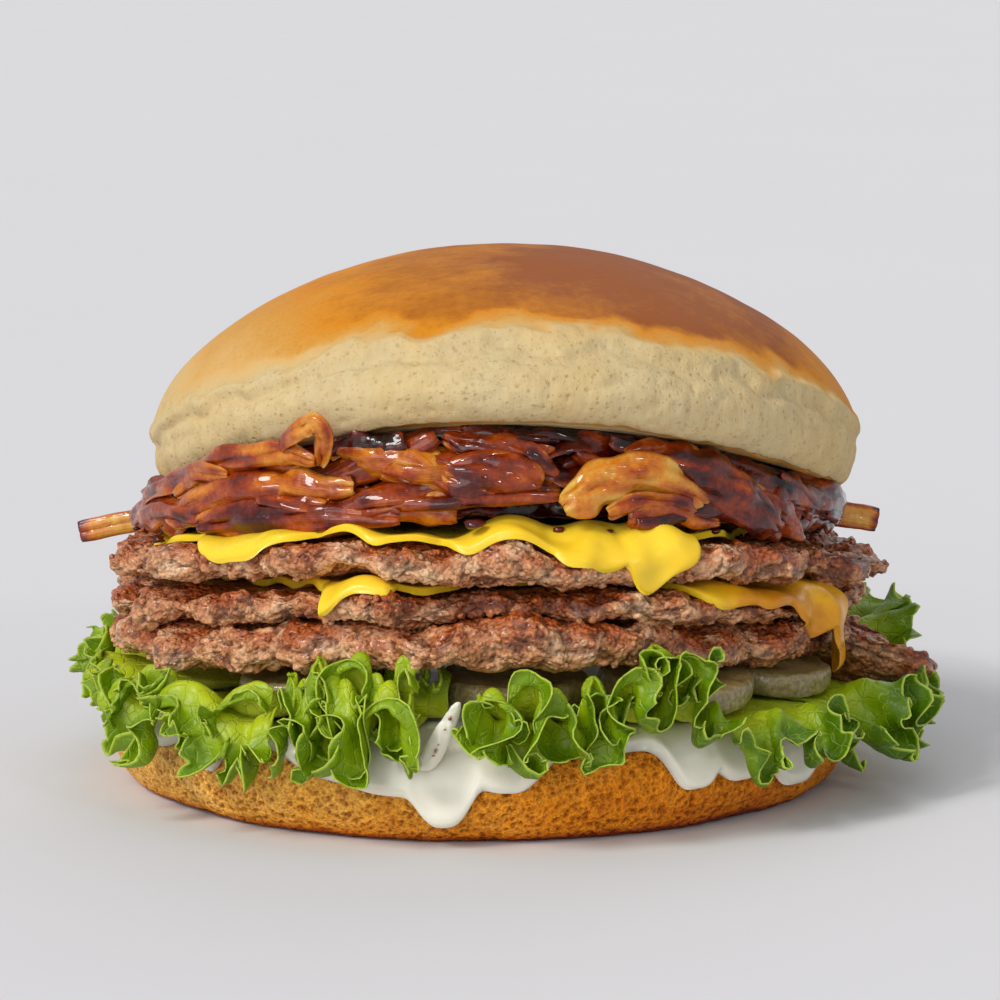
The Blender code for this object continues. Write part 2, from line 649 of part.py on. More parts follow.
def strip(path, width, thick, roll):
    """Flat band along a path of points, tapered at both ends, four points to a section."""
    path = np.asarray(path, float)
    along = np.gradient(path, axis=0)
    along /= np.linalg.norm(along, axis=1, keepdims=True)
    outward = path * np.array([1.0, 1.0, 0.0])
    outward /= np.linalg.norm(outward, axis=1, keepdims=True)
    across = np.cross(along, outward)
    across /= np.linalg.norm(across, axis=1, keepdims=True)
    out = np.cross(across, along)
    lean = np.radians(roll)
    face = across * math.cos(lean) + out * math.sin(lean)
    flat = np.cross(along, face)
    share = np.linspace(0.0, 1.0, len(path))
    taper = 0.35 + 0.65 * np.sin(math.pi * share) ** 0.6
    points = []
    for k in range(len(path)):
        w = face[k] * width * taper[k] / 2.0
        t = flat[k] * thick / 2.0
        points += [path[k] - w - t, path[k] + w - t, path[k] + w + t, path[k] - w + t]
    faces = [(0, 1, 2, 3)]
    for k in range(len(path) - 1):
        for s in range(4):
            a, b = 4 * k + s, 4 * k + (s + 1) % 4
            faces.append((a, a + 4, b + 4, b))
    end = 4 * (len(path) - 1)
    faces.append((end, end + 3, end + 2, end + 1))
    return np.asarray(points), faces


def fitting_width(begin, end, width):
    """Width of a strip, made less where the room between the top patty and the bun is small."""
    angle = np.linspace(begin, end, BAND_STEPS)
    room = crown_under(51.0, angle) - level_at(ONION_BASE, 52.0, angle) - 2.0 * GAP
    return min(width, 0.8 * float(room.min()))


def onion_path(begin, end, start, stop, arch, width, swell=0.0):
    """Path round the heap between two bearings, with height shares at its ends and an arch between."""
    share = np.linspace(0.0, 1.0, BAND_STEPS)
    angle = begin + (end - begin) * share
    rise = np.clip(start + (stop - start) * share + arch * np.sin(math.pi * share), 0.0, 1.0)
    low = level_at(ONION_BASE, 52.0, angle) + GAP + 0.42 * width
    high = crown_under(51.0, angle) - 2.0 * GAP - 0.5 * width
    radius = ONION_RADIUS + 2.6 - 2.6 * rise + swell + 0.6 * np.sin(2.0 * math.pi * share)
    return place(radius, angle, low + np.maximum(high - low, 0.0) * rise)


def strip_list():
    """Every onion strip as a path with a width, a thickness and a roll."""
    rng = random.Random(ONION_SEED)
    strips = []
    for begin, end, start, stop, arch, width, roll, swell in BANDS:
        width = fitting_width(begin, end, width)
        strips.append((onion_path(begin, end, start, stop, arch, width, swell), width, 1.6, roll))
    for k in range(BACK_BANDS):
        begin = 90.0 + 42.0 * k + rng.uniform(-4.0, 4.0)
        end = begin + rng.uniform(44.0, 54.0)
        width = fitting_width(begin, end, rng.uniform(4.0, 5.6))
        start, stop, arch, swell = (rng.uniform(*span) for span in BACK_SPANS)
        path = onion_path(begin, end, start, stop, arch, width, swell)
        strips.append((path, width, 1.6, rng.uniform(-10.0, 10.0)))
    for begin, end, low, high, width in OVER_RIM:
        share = np.linspace(0.0, 1.0, BAND_STEPS)
        turn = begin + (end - begin) * share
        height = edge_height(CROWN_BASE, turn) + low + (high - low) * np.sin(math.pi * share)
        strips.append((place(CROWN_RADIUS + 1.6, turn, height, CROWN_SHIFT), width, 1.6, 0.0))
    for path, width, roll in STUBS:
        strips.append((path, width, 1.7, roll))
    return strips


def make_onions(finish):
    """Fried onions: the inner mass with the strips that show, joined into one body."""
    points, faces = onion_core()
    core = body("onions", points, faces, finish)
    bands = []
    for k, (path, width, thick, roll) in enumerate(strip_list()):
        made_points, made_faces = strip(path, width, thick, roll)
        bands.append(body(f"onion_band_{k}", made_points, made_faces, finish))
    fuse(core, bands, flat=ONION_FLAT)
    return core


def main():
    """Builds the burger from the lower bun upwards."""
    clear_scene()
    finishes = {name: material(name, colour, 0.5) for name, colour in COLOURS.items()}
    make_heel(finishes["crumb"])
    make_sauce(finishes["sauce"])
    for spec in LEAVES:
        make_leaf(spec, finishes["leaf"])
    for spec in PICKLES:
        make_pickle(spec, finishes["pickle"])
    meat = finishes["meat"]
    patty("patty_lower", PATTY_LOW_BASE, PATTY_LOW_TOP, (21, 22), 41, meat, LOWER_LOBES)
    angle = bearings()
    middle = (PATTY_LOW_TOP, PATTY_MID_TOP, (22, 23), 47, meat, MIDDLE_LOBES)
    _, rim = patty("patty_middle", *middle)
    reach = square_reach(angle, CHEESE_SIDE, LOWER_TURN, LOWER_CORNER, LOWER_MELT)
    lower = drape("cheese_lower", rim, 23, reach, CHEESE_THICK, finishes["cheese"], 1.1)
    fuse(lower, [patty("bed", *middle, grow=BED_GAP)[0]], "DIFFERENCE", CHEESE_FLAT)
    top = (PATTY_TOP_BASE, PATTY_TOP_TOP, (23, 24), 53, meat, UPPER_LOBES)
    _, rim = patty("patty_upper", *top)
    reach = square_reach(angle, CHEESE_SIDE, UPPER_TURN, UPPER_CORNER, UPPER_MELT)
    upper = drape("cheese_upper", rim, 24, reach, CHEESE_THICK, finishes["cheese"], 1.2)
    fuse(upper, [patty("bed", *top, grow=BED_GAP)[0]], "DIFFERENCE", CHEESE_FLAT)
    make_onions(finishes["onion"])
    make_crown(finishes["crust"])


main()
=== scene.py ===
"""Cheeseburger of three thin smashed patties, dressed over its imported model.

Lengths are in millimetres and become metres when a mesh is made. +Z is up and the front, the side
with the long drip of sauce, looks along -Y. A bearing is counted from the front in degrees, positive
to the right. Every surface is a grid of points worked out as whole arrays.
"""

import logging
import math
import random
from dataclasses import dataclass, field
from enum import Enum

import bpy
import numpy as np
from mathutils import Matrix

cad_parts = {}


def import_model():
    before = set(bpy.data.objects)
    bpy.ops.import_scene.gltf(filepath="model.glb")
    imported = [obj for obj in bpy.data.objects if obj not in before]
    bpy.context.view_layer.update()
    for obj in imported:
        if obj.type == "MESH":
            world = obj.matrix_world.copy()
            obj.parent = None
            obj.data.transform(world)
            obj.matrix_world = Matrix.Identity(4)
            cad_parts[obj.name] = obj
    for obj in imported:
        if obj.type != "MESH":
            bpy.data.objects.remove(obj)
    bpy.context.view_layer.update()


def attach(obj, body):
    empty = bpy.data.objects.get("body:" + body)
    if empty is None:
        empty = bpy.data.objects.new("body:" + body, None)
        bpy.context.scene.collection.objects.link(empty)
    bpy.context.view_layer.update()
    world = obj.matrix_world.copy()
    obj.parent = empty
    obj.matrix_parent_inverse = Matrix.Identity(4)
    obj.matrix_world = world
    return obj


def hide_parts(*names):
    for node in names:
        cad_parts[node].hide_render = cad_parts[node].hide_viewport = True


LOG = logging.getLogger("cheeseburger")
Array = np.ndarray
Marks = dict[str, Array]
Names = tuple[str, ...]
Point = tuple[float, float, float]
Colour = tuple[float, float, float]
Screen = tuple[int, int, int]
Socket = bpy.types.NodeSocket
Material = bpy.types.Material
Node = bpy.types.Node

# A millimetre in metres, the room between two layers, and that between a leaf's middle and a layer
MM = 0.001
GAP = 0.3
LEAF_ROOM = GAP + 0.45
# Radius where the layers have their edge heights, and radius where their ripple begins
EDGE = 57.0
INNER_RING = 36.0
QUARTER = 0.5 * math.pi
# Keeps a vector's level part
LEVEL_PART = np.array([1.0, 1.0, 0.0])


# Numbers on arrays


def away(angle: Array, centre: float) -> Array:
    """Signed difference of bearings in degrees, from -180 to 180."""
    return (np.asarray(angle, float) - centre + 180.0) % 360.0 - 180.0


def bump(angle: Array, centre: float, half: float, power: float = 2.0) -> Array:
    """Bump of height one: e to the minus (distance over half width) to a power; 4 has a flat top."""
    return np.exp(-np.abs(away(angle, centre) / half) ** power)


def ease(value: Array) -> Array:
    """Smooth step from 0 to 1: three squares less two cubes of the clipped value."""
    t = np.clip(value, 0.0, 1.0)
    return t * t * (3.0 - 2.0 * t)


def ripple(angle: Array, seed: int, orders: tuple[int, ...], size: float) -> Array:
    """Sum of a few sines of the bearing, with seeded phases and strengths.

    Args:
        angle: Bearings in degrees.
        seed: Seed of the phases.
        orders: Waves round the circle.
        size: Height of the sum.

    Returns:
        One value for each bearing.
    """
    rng = random.Random(seed)
    total = np.zeros_like(np.asarray(angle, float))
    for order in orders:
        phase = rng.uniform(0.0, 2.0 * math.pi)
        total = total + rng.uniform(0.6, 1.0) * np.sin(np.radians(angle) * order + phase)
    return total * size / math.sqrt(len(orders))


def place(radius: Array, angle: Array, height: Array, shift: float = 0.0) -> Array:
    """Points of a radius, a bearing and a height: x = r sin, y = -r cos.

    Args:
        radius: Distances from the axis.
        angle: Bearings in degrees.
        height: Heights.
        shift: Sideways shift of the axis.

    Returns:
        The points.
    """
    turn = np.radians(angle)
    parts = np.broadcast_arrays(shift + radius * np.sin(turn), -radius * np.cos(turn), height)
    return np.stack(parts, axis=-1)


def lattice(cell: Array, seed: int) -> Array:
    """Pseudo-random numbers from 0 to 1 for whole-number cells: products of primes, mixed by shifts.

    Args:
        cell: Cells, three whole numbers each.
        seed: Seed of the numbers.

    Returns:
        One number for each cell.
    """
    x = cell.astype(np.int64)
    h = (x[..., 0] * 73856093) ^ (x[..., 1] * 19349663) ^ (x[..., 2] * 83492791) ^ (seed * 7919 + 17)
    h = ((h ^ (h >> 13)) * 1274126177) & 0x7FFFFFFF
    h = ((h ^ (h >> 11)) * 668265263) & 0x7FFFFFFF
    return ((h ^ (h >> 15)) & 0xFFFFF) / 0xFFFFF


def noise(points: Array, seed: int) -> Array:
    """Smooth noise from -1 to 1: the lattice values at the eight corners of a cell, eased between.

    Args:
        points: Places, three lengths each.
        seed: Seed of the noise.

    Returns:
        One value for each place.
    """
    base = np.floor(points)
    t = ease(points - base)
    total = np.zeros(points.shape[:-1])
    for corner in np.ndindex(2, 2, 2):
        share = np.prod(np.where(np.array(corner) == 1, t, 1.0 - t), axis=-1)
        total += share * lattice(base + np.array(corner), seed)
    return 2.0 * total - 1.0


def layers(points: Array, size: float, count: int, seed: int) -> Array:
    """Sum of noises, each of half the wavelength and half the height of the one before.

    Args:
        points: Places, three lengths each.
        size: Longest wavelength.
        count: Number of noises.
        seed: Seed of the noise.

    Returns:
        One value for each place.
    """
    total = np.zeros(points.shape[:-1])
    for k in range(count):
        total += 0.5 ** k * noise(points * (2.0 ** k / size), seed + k)
    return total


def cells(points: Array, size: float, seed: int) -> tuple[Array, Array]:
    """Distance to the nearest of the points scattered one to a cell, and that point's number.

    Args:
        points: Places in millimetres.
        size: Width of a cell.
        seed: Seed of the scatter.

    Returns:
        The distances, in cells, and a number from 0 to 1 for each place.
    """
    scaled = points / size
    base = np.floor(scaled)
    best = np.full(points.shape[:-1], 9.0)
    number = np.zeros(points.shape[:-1])
    for step in np.ndindex(3, 3, 3):
        cell = base + np.array(step) - 1.0
        spot = cell + np.stack([lattice(cell, seed + k) for k in range(3)], axis=-1)
        distance = np.linalg.norm(scaled - spot, axis=-1)
        nearer = distance < best
        best = np.where(nearer, distance, best)
        number = np.where(nearer, lattice(cell, seed + 3), number)
    return best, number


def unit(vectors: Array) -> Array:
    """Vectors divided by their lengths."""
    return vectors / np.maximum(np.linalg.norm(vectors, axis=-1, keepdims=True), 1e-9)


def normals(grid: Array, closed: bool) -> Array:
    """Unit normals of a grid: the cross product of its two central differences.

    Args:
        grid: Points, columns by rows by three.
        closed: Whether the columns run round and meet.

    Returns:
        One unit vector for each point.
    """
    if closed:
        along = np.roll(grid, -1, axis=0) - np.roll(grid, 1, axis=0)
    else:
        along = np.gradient(grid, axis=0)
    return unit(np.cross(along, np.gradient(grid, axis=1)))


def outwards(grid: Array) -> Array:
    """Unit normals of a closed grid, turned so that those of its middle row point away from the axis.

    Args:
        grid: Points, columns by rows by three.

    Returns:
        One unit vector for each point.
    """
    out = normals(grid, True)
    row = grid.shape[1] // 2
    return out if (out[:, row] * grid[:, row] * LEVEL_PART).sum() > 0.0 else -out


def spline(stations: list[Array], count: int) -> Array:
    """Rows of a smooth sheet: uniform cubic B-spline weights over the stations, ends held.

    Args:
        stations: Control rows, each columns by three, from the inner to the outer one.
        count: Rows wanted.

    Returns:
        Points, columns by rows by three.
    """
    rows = [2.0 * stations[0] - stations[1], *stations, 2.0 * stations[-1] - stations[-2]]
    control = np.stack(rows, axis=1)
    t = np.linspace(0.0, len(stations) - 1.0, count)
    first = np.minimum(t.astype(int), len(stations) - 2)
    s = (t - first)[None, :, None]
    weights = ((1 - s) ** 3, 3 * s ** 3 - 6 * s ** 2 + 4, -3 * s ** 3 + 3 * s ** 2 + 3 * s + 1, s ** 3)
    return sum(w / 6.0 * control[:, first + k] for k, w in enumerate(weights))


def linear(red: float, green: float, blue: float) -> tuple[float, float, float, float]:
    """Linear colour, with full cover, of a colour given from 0 to 255 as a screen shows it."""
    return (*(float((c / 255.0) ** 2.2) for c in (red, green, blue)), 1.0)


# Meshes


@dataclass
class Form:
    """Closed surface: its points, quads and triangles, with marks that vary from point to point."""

    points: Array
    quads: Array
    tris: Array
    marks: Marks = field(default_factory=dict)

    @staticmethod
    def shell(grid: Array, low: Array, high: Array, marks: Marks | None = None) -> "Form":
        """Surface round the upright axis, closed by a pole below the first row and above the last.

        Args:
            grid: Points, columns by rows by three.
            low: Lower pole.
            high: Upper pole.
            marks: Values, columns by rows.

        Returns:
            The closed form.
        """
        n, m = grid.shape[:2]
        i, j = np.meshgrid(np.arange(n), np.arange(m - 1), indexing="ij")
        k = (i + 1) % n
        quads = np.stack([i * m + j, k * m + j, k * m + j + 1, i * m + j + 1], axis=-1).reshape(-1, 4)
        c = np.arange(n)
        d = (c + 1) % n
        caps = [np.stack([np.full(n, n * m), d * m, c * m], axis=-1)]
        caps.append(np.stack([c * m + m - 1, d * m + m - 1, np.full(n, n * m + 1)], axis=-1))
        points = np.concatenate([grid.reshape(-1, 3), [low, high]])
        values = {}
        for name, v in (marks or {}).items():
            values[name] = np.append(v.ravel(), (v[:, 0].mean(), v[:, -1].mean()))
        return Form(points, quads, np.concatenate(caps), values)

    @staticmethod
    def slab(top: Array, under: Array, marks: Marks | None = None) -> "Form":
        """Thin closed sheet between two open grids, its four edges closed by one row of quads each.

        Args:
            top: Points of the upper face, columns by rows by three.
            under: Points of the lower face.
            marks: Values, columns by rows, the same on both faces.

        Returns:
            The closed form.
        """
        n, m = top.shape[:2]
        wrap = np.concatenate([top, under[:, ::-1]], axis=1)
        w = 2 * m
        i, j = np.meshgrid(np.arange(n - 1), np.arange(w), indexing="ij")
        q = (j + 1) % w
        quads = [np.stack([i * w + j, (i + 1) * w + j, (i + 1) * w + q, i * w + q], axis=-1).reshape(-1, 4)]
        c = np.arange(m - 1)
        quads.append(np.stack([c, c + 1, w - 2 - c, w - 1 - c], axis=-1))
        e = (n - 1) * w
        quads.append(np.stack([e + c, e + w - 1 - c, e + w - 2 - c, e + c + 1], axis=-1))
        values = {name: np.concatenate([v, v[:, ::-1]], axis=1).ravel() for name, v in (marks or {}).items()}
        return Form(wrap.reshape(-1, 3), np.concatenate(quads), np.zeros((0, 3), int), values)

    @staticmethod
    def joined(forms: list["Form"]) -> "Form":
        """Several forms as one, their marks side by side.

        Args:
            forms: Forms that have the same marks.

        Returns:
            The joined form.
        """
        starts = np.cumsum([0] + [len(f.points) for f in forms])
        quads = np.concatenate([f.quads + s for f, s in zip(forms, starts)])
        tris = np.concatenate([f.tris + s for f, s in zip(forms, starts)])
        marks = {name: np.concatenate([f.marks[name] for f in forms]) for name in forms[0].marks}
        return Form(np.concatenate([f.points for f in forms]), quads, tris, marks)

    def outward(self) -> "Form":
        """The same form with its faces turned out: the sign of the volume decides."""
        fans = np.concatenate([self.quads[:, :3], self.quads[:, [0, 2, 3]], self.tris])
        centre = self.points.mean(axis=0)
        a, b, c = (self.points[fans[:, k]] - centre for k in range(3))
        if np.einsum("ij,ij->i", a, np.cross(b, c)).sum() < 0.0:
            return Form(self.points, self.quads[:, ::-1], self.tris[:, ::-1], self.marks)
        return self

    def make(self, name: str, finish: Material, slot: str, nodes: Names) -> None:
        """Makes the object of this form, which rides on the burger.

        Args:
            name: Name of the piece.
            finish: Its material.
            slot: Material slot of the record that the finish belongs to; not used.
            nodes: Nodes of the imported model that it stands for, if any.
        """
        mesh = bpy.data.meshes.new(name)
        mesh.from_pydata((self.points * MM).tolist(), [], self.quads.tolist() + self.tris.tolist())
        mesh.polygons.foreach_set("use_smooth", np.ones(len(mesh.polygons), bool))
        for mark, values in self.marks.items():
            mesh.attributes.new(mark, "FLOAT", "POINT").data.foreach_set("value", values.astype(np.float32))
        mesh.materials.append(finish)
        mesh.update()
        made = bpy.data.objects.new(name, mesh)
        bpy.context.scene.collection.objects.link(made)
        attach(made, "root")
        if nodes:
            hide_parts(*nodes)
        LOG.info("%s: %d faces", name, len(mesh.polygons))


def lumps(centres: Array, sizes: Array, flat: float, seed: int, marks: Marks) -> list[Form]:
    """Small rough balls: a sphere of latitude rings, its radius changed by noise.

    Args:
        centres: Middles, one row each.
        sizes: Radius of each.
        flat: Height of a ball as a share of its width.
        seed: Seed of the roughness.
        marks: One value for each ball.

    Returns:
        One closed form for each ball.
    """
    around = np.linspace(0.0, 2.0 * math.pi, 9, endpoint=False)[:, None]
    rise = np.radians(np.array([-60.0, -28.0, 4.0, 34.0, 64.0]))[None, :]
    parts = (np.cos(rise) * np.cos(around), np.cos(rise) * np.sin(around), np.sin(rise))
    ball = np.stack(np.broadcast_arrays(*parts), axis=-1)
    middle = centres[:, None, None]
    grids = middle + ball * sizes[:, None, None, None] * np.array([1.0, 1.0, flat])
    rough = 1.0 + 0.45 * noise(ball[None] * 1.3 + middle * 5.0, seed)
    grids = middle + (grids - middle) * rough[..., None]
    up = np.array([0.0, 0.0, flat])
    made = []
    for k, (grid, centre, size) in enumerate(zip(grids, centres, sizes)):
        values = {name: np.full(grid.shape[:2], v[k]) for name, v in marks.items()}
        made.append(Form.shell(grid, centre - up * size, centre + up * size, values).outward())
    return made


# Materials


class Graph:
    """Short way to write the nodes of a material or of a node group."""

    def __init__(self, tree: bpy.types.NodeTree) -> None:
        """Keeps the tree that the nodes go into."""
        self.tree = tree

    def feed(self, socket: Socket, value: object) -> None:
        """Links a socket into an input, or sets the input to a value.

        Args:
            socket: Input of a node.
            value: Socket or plain value.
        """
        if isinstance(value, Socket):
            self.tree.links.new(value, socket)
        else:
            socket.default_value = value

    def node(self, kind: str, inputs: dict | None = None, **settings: object) -> Node:
        """Adds a node.

        Args:
            kind: Blender's name of the node without its ShaderNode prefix.
            inputs: Values or sockets by the name or number of the input.
            settings: Properties of the node.

        Returns:
            The node.
        """
        made = self.tree.nodes.new("ShaderNode" + kind)
        for key, value in settings.items():
            setattr(made, key, value)
        for key, value in (inputs or {}).items():
            self.feed(made.inputs[key], value)
        return made

    def math(self, operation: str, first: object, second: object, clamp: bool = False) -> Socket:
        """Result of one arithmetic node."""
        return self.node("Math", {0: first, 1: second}, operation=operation, use_clamp=clamp).outputs[0]

    def times(self, first: object, second: object) -> Socket:
        """Product of two values."""
        return self.math("MULTIPLY", first, second)

    def plus(self, first: object, second: object, clamp: bool = False) -> Socket:
        """Sum of two values, held between 0 and 1 where asked."""
        return self.math("ADD", first, second, clamp)

    def swing(self, value: Socket, size: object) -> Socket:
        """Distance of a value from a half, times a size."""
        return self.times(self.math("SUBTRACT", value, 0.5), size)

    def mix(self, factor: object, colour: Socket, other: Socket | Screen) -> Socket:
        """Colour carried by a factor towards another, which is a socket or a colour of the screen."""
        target = other if isinstance(other, Socket) else linear(*other)
        return self.node("Mix", {0: factor, 6: colour, 7: target}, data_type="RGBA").outputs[2]

    def ramp(self, factor: object, *stops: tuple[float, int, int, int]) -> Socket:
        """Colour read from stops, each a place from 0 to 1 and a colour of the screen.

        Args:
            factor: Socket or value from 0 to 1.
            stops: Places and their colours, in order.

        Returns:
            The colour.
        """
        made = self.node("ValToRGB", {0: factor})
        line = made.color_ramp.elements
        while len(line) < len(stops):
            line.new(0.5)
        for element, (where, *screen) in zip(line, stops):
            element.position = where
            element.color = linear(*screen)
        return made.outputs[0]

    def span(self, value: object, low: float, high: float, first: float = 0.0, last: float = 1.0) -> Socket:
        """Value carried smoothly from one span to another and held inside it."""
        inputs = {0: value, 1: low, 2: high, 3: first, 4: last}
        return self.node("MapRange", inputs, interpolation_type="SMOOTHSTEP").outputs[0]

    def falling(self, value: object, width: object, height: float) -> Socket:
        """Value carried in a straight line from a height at 0 down to 0 at a width."""
        return self.node("MapRange", {0: value, 1: 0.0, 2: width, 3: height, 4: 0.0}).outputs[0]

    def mark(self, name: str) -> Socket:
        """Value of a point mark of the mesh."""
        return self.node("Attribute", attribute_name=name).outputs["Fac"]

    def place(self) -> Socket:
        """Object coordinates."""
        return self.node("TexCoord").outputs["Object"]

    def noise(
        self, scale: object, detail: float = 3.0, rough: float = 0.55, at: Socket | None = None
    ) -> Socket:
        """Noise of a scale, in waves to the metre, at the object coordinates or at others."""
        inputs = {"Vector": at or self.place(), "Scale": scale, "Detail": detail, "Roughness": rough}
        return self.node("TexNoise", inputs).outputs[0]

    def wobbled(self, at: Socket, scale: float, detail: float, size: float) -> Socket:
        """Coordinates shifted by a coloured noise of a scale and of a size in metres.

        Args:
            at: Coordinates.
            scale: Scale of the noise.
            detail: Detail of the noise.
            size: Size of the shift.

        Returns:
            The shifted coordinates.
        """
        shift = self.node("TexNoise", {"Vector": at, "Scale": scale, "Detail": detail}).outputs[1]
        scaled = self.node("VectorMath", {0: shift, 1: (size, size, size)}, operation="MULTIPLY").outputs[0]
        return self.node("VectorMath", {0: at, 1: scaled}, operation="ADD").outputs[0]

    def group(self, effect: "Effect", **inputs: float) -> tuple[Socket, Socket]:
        """The two outputs of a shared effect with its own values, at the object coordinates."""
        made = self.node("Group", {"Vector": self.place(), **inputs}, node_tree=effect.tree())
        return made.outputs[0], made.outputs[1]

    def bumped(self, height: object, depth: float, under: Socket | None = None) -> Socket:
        """Normal of a height field of a depth in millimetres, over another normal where one is given.

        Args:
            height: Height field.
            depth: Its depth in millimetres.
            under: Normal below it.

        Returns:
            The normal.
        """
        inputs = {"Height": height, "Distance": depth * MM, "Strength": 1.0}
        if under is not None:
            inputs["Normal"] = under
        return self.node("Bump", inputs).outputs[0]


class Effect(Enum):
    """Effects that several finishes share, each a node group with two outputs."""

    PORES = "pores"
    MOTTLE = "mottle"

    def tree(self) -> bpy.types.NodeTree:
        """Node group of the effect, made when it is first asked for."""
        return bpy.data.node_groups.get(self.value) or EFFECT_MAKERS[self](self.value)


def new_group(name: str, inputs: Names, outputs: Names) -> tuple[Graph, dict, Node]:
    """Empty node group.

    Args:
        name: Name of the group.
        inputs: Names of the number inputs; the first input is always the vector.
        outputs: Names of the number outputs.

    Returns:
        Its graph, its inputs by name, and its output node.
    """
    tree = bpy.data.node_groups.new(name, "ShaderNodeTree")
    tree.interface.new_socket("Vector", in_out="INPUT", socket_type="NodeSocketVector")
    for names, way in ((inputs, "INPUT"), (outputs, "OUTPUT")):
        for item in names:
            tree.interface.new_socket(item, in_out=way, socket_type="NodeSocketFloat")
    start = tree.nodes.new("NodeGroupInput")
    end = tree.nodes.new("NodeGroupOutput")
    return Graph(tree), {s.name: s for s in start.outputs if s.name}, end


def make_pores(name: str) -> bpy.types.NodeTree:
    """Group of holes of two sizes: the distance to scattered points, cut off at a width.

    Args:
        name: Name of the group.

    Returns:
        The node group.
    """
    graph, given, end = new_group(name, ("Scale", "Width"), ("Hole", "Height"))
    vector = graph.wobbled(given["Vector"], 900.0, 2.0, 0.0007)
    scales = (given["Scale"], graph.times(given["Scale"], 2.3))
    near = [graph.node("TexVoronoi", {"Vector": vector, "Scale": scale}).outputs[0] for scale in scales]
    depths = [graph.falling(value, given["Width"], depth) for value, depth in zip(near, (1.0, 0.6))]
    hole = graph.math("MAXIMUM", *depths)
    graph.feed(end.inputs["Hole"], hole)
    graph.feed(end.inputs["Height"], graph.math("SUBTRACT", 1.0, hole))
    return graph.tree


def make_mottle(name: str) -> bpy.types.NodeTree:
    """Group of uneven tone: a broad noise and a fine one, weighted, spread round a half.

    Args:
        name: Name of the group.

    Returns:
        The node group.
    """
    graph, given, end = new_group(name, ("Scale", "Contrast"), ("Value", "Fine"))
    broad = graph.noise(given["Scale"], 4.0, 0.6, given["Vector"])
    fine = graph.noise(graph.times(given["Scale"], 9.0), 3.0, 0.6, given["Vector"])
    both = graph.plus(graph.times(broad, 0.7), graph.times(fine, 0.3))
    graph.feed(end.inputs["Value"], graph.plus(graph.swing(both, given["Contrast"]), 0.5, True))
    graph.feed(end.inputs["Fine"], fine)
    return graph.tree


EFFECT_MAKERS = {Effect.PORES: make_pores, Effect.MOTTLE: make_mottle}


@dataclass(frozen=True)
class Finish:
    """A finish: its name and the constants of its shader."""

    name: str
    scatter: float = 0.0
    scatter_reach: Colour = (1.0, 0.4, 0.2)
    coat: float = 0.0
    coat_roughness: float = 0.1
    specular: float = 0.5
    through: float = 0.0

    def nodes(self, graph: Graph) -> dict[str, object]:
        """Colour, roughness and normal of the surface; each finish has its own."""
        raise NotImplementedError

    def build(self) -> Material:
        """Makes the material with one Principled shader."""
        made = bpy.data.materials.new(self.name)
        made.use_nodes = True
        graph = Graph(made.node_tree)
        values = {"Subsurface Weight": self.scatter, "Subsurface Radius": self.scatter_reach,
                  "Subsurface Scale": MM, "Coat Weight": self.coat, "Coat Roughness": self.coat_roughness,
                  "Specular IOR Level": self.specular, "Transmission Weight": self.through}
        for key, value in (self.nodes(graph) | values).items():
            graph.feed(made.node_tree.nodes["Principled BSDF"].inputs[key], value)
        return made


class CrustFinish(Finish):
    """Baked crust over a pale torn side: the mark bake runs from pale to brown and also carries painted shade
    on the right side.
    """

    def nodes(self, graph: Graph) -> dict[str, object]:
        """Colour by bake and mottle, with painted shade on the right side through the mark bake, fine dimples
        on the crust and pits on the pale side, with painted shade in the holes there.

        Args:
            graph: Graph of the material.

        Returns:
            Sockets or values by the name of the shader's input.
        """
        bake = graph.mark("bake")
        value, _ = graph.group(Effect.MOTTLE, Scale=70.0, Contrast=1.6)
        hole, depth = graph.group(Effect.PORES, Scale=700.0, Width=0.28)
        colour = graph.ramp(graph.plus(bake, graph.swing(value, 0.3), True),
                            (0.0, 204, 184, 140), (0.16, 208, 180, 126), (0.36, 212, 170, 106),
                            (0.58, 206, 148, 66), (0.8, 210, 132, 22), (1.0, 146, 76, 8))
        pale = graph.span(bake, 0.1, 0.4, 1.0, 0.0)
        upright = graph.node("Mapping", {"Vector": graph.place(), "Scale": (1.0, 1.0, 0.16)}).outputs[0]
        fibre = graph.noise(620.0, 4.0, 0.7, upright)
        colour = graph.mix(graph.times(graph.span(fibre, 0.35, 0.75, 0.0, 0.3), pale), colour, (178, 148, 96))
        freckle = graph.span(graph.noise(1500.0, 2.0), 0.52, 0.74, 0.0, 0.22)
        colour = graph.mix(graph.times(freckle, graph.span(bake, 0.25, 0.6)), colour, (140, 70, 20))
        # Painted shade in the holes of the pale side.
        colour = graph.mix(graph.times(hole, graph.times(pale, 0.4)), colour, (150, 112, 60))
        torn = graph.times(graph.plus(fibre, graph.times(depth, 0.7)), pale)
        normal = graph.bumped(torn, 0.22, graph.bumped(graph.noise(1100.0), 0.09))
        return {"Base Color": colour, "Roughness": graph.span(bake, 0.2, 0.7, 0.75, 0.52), "Normal": normal}


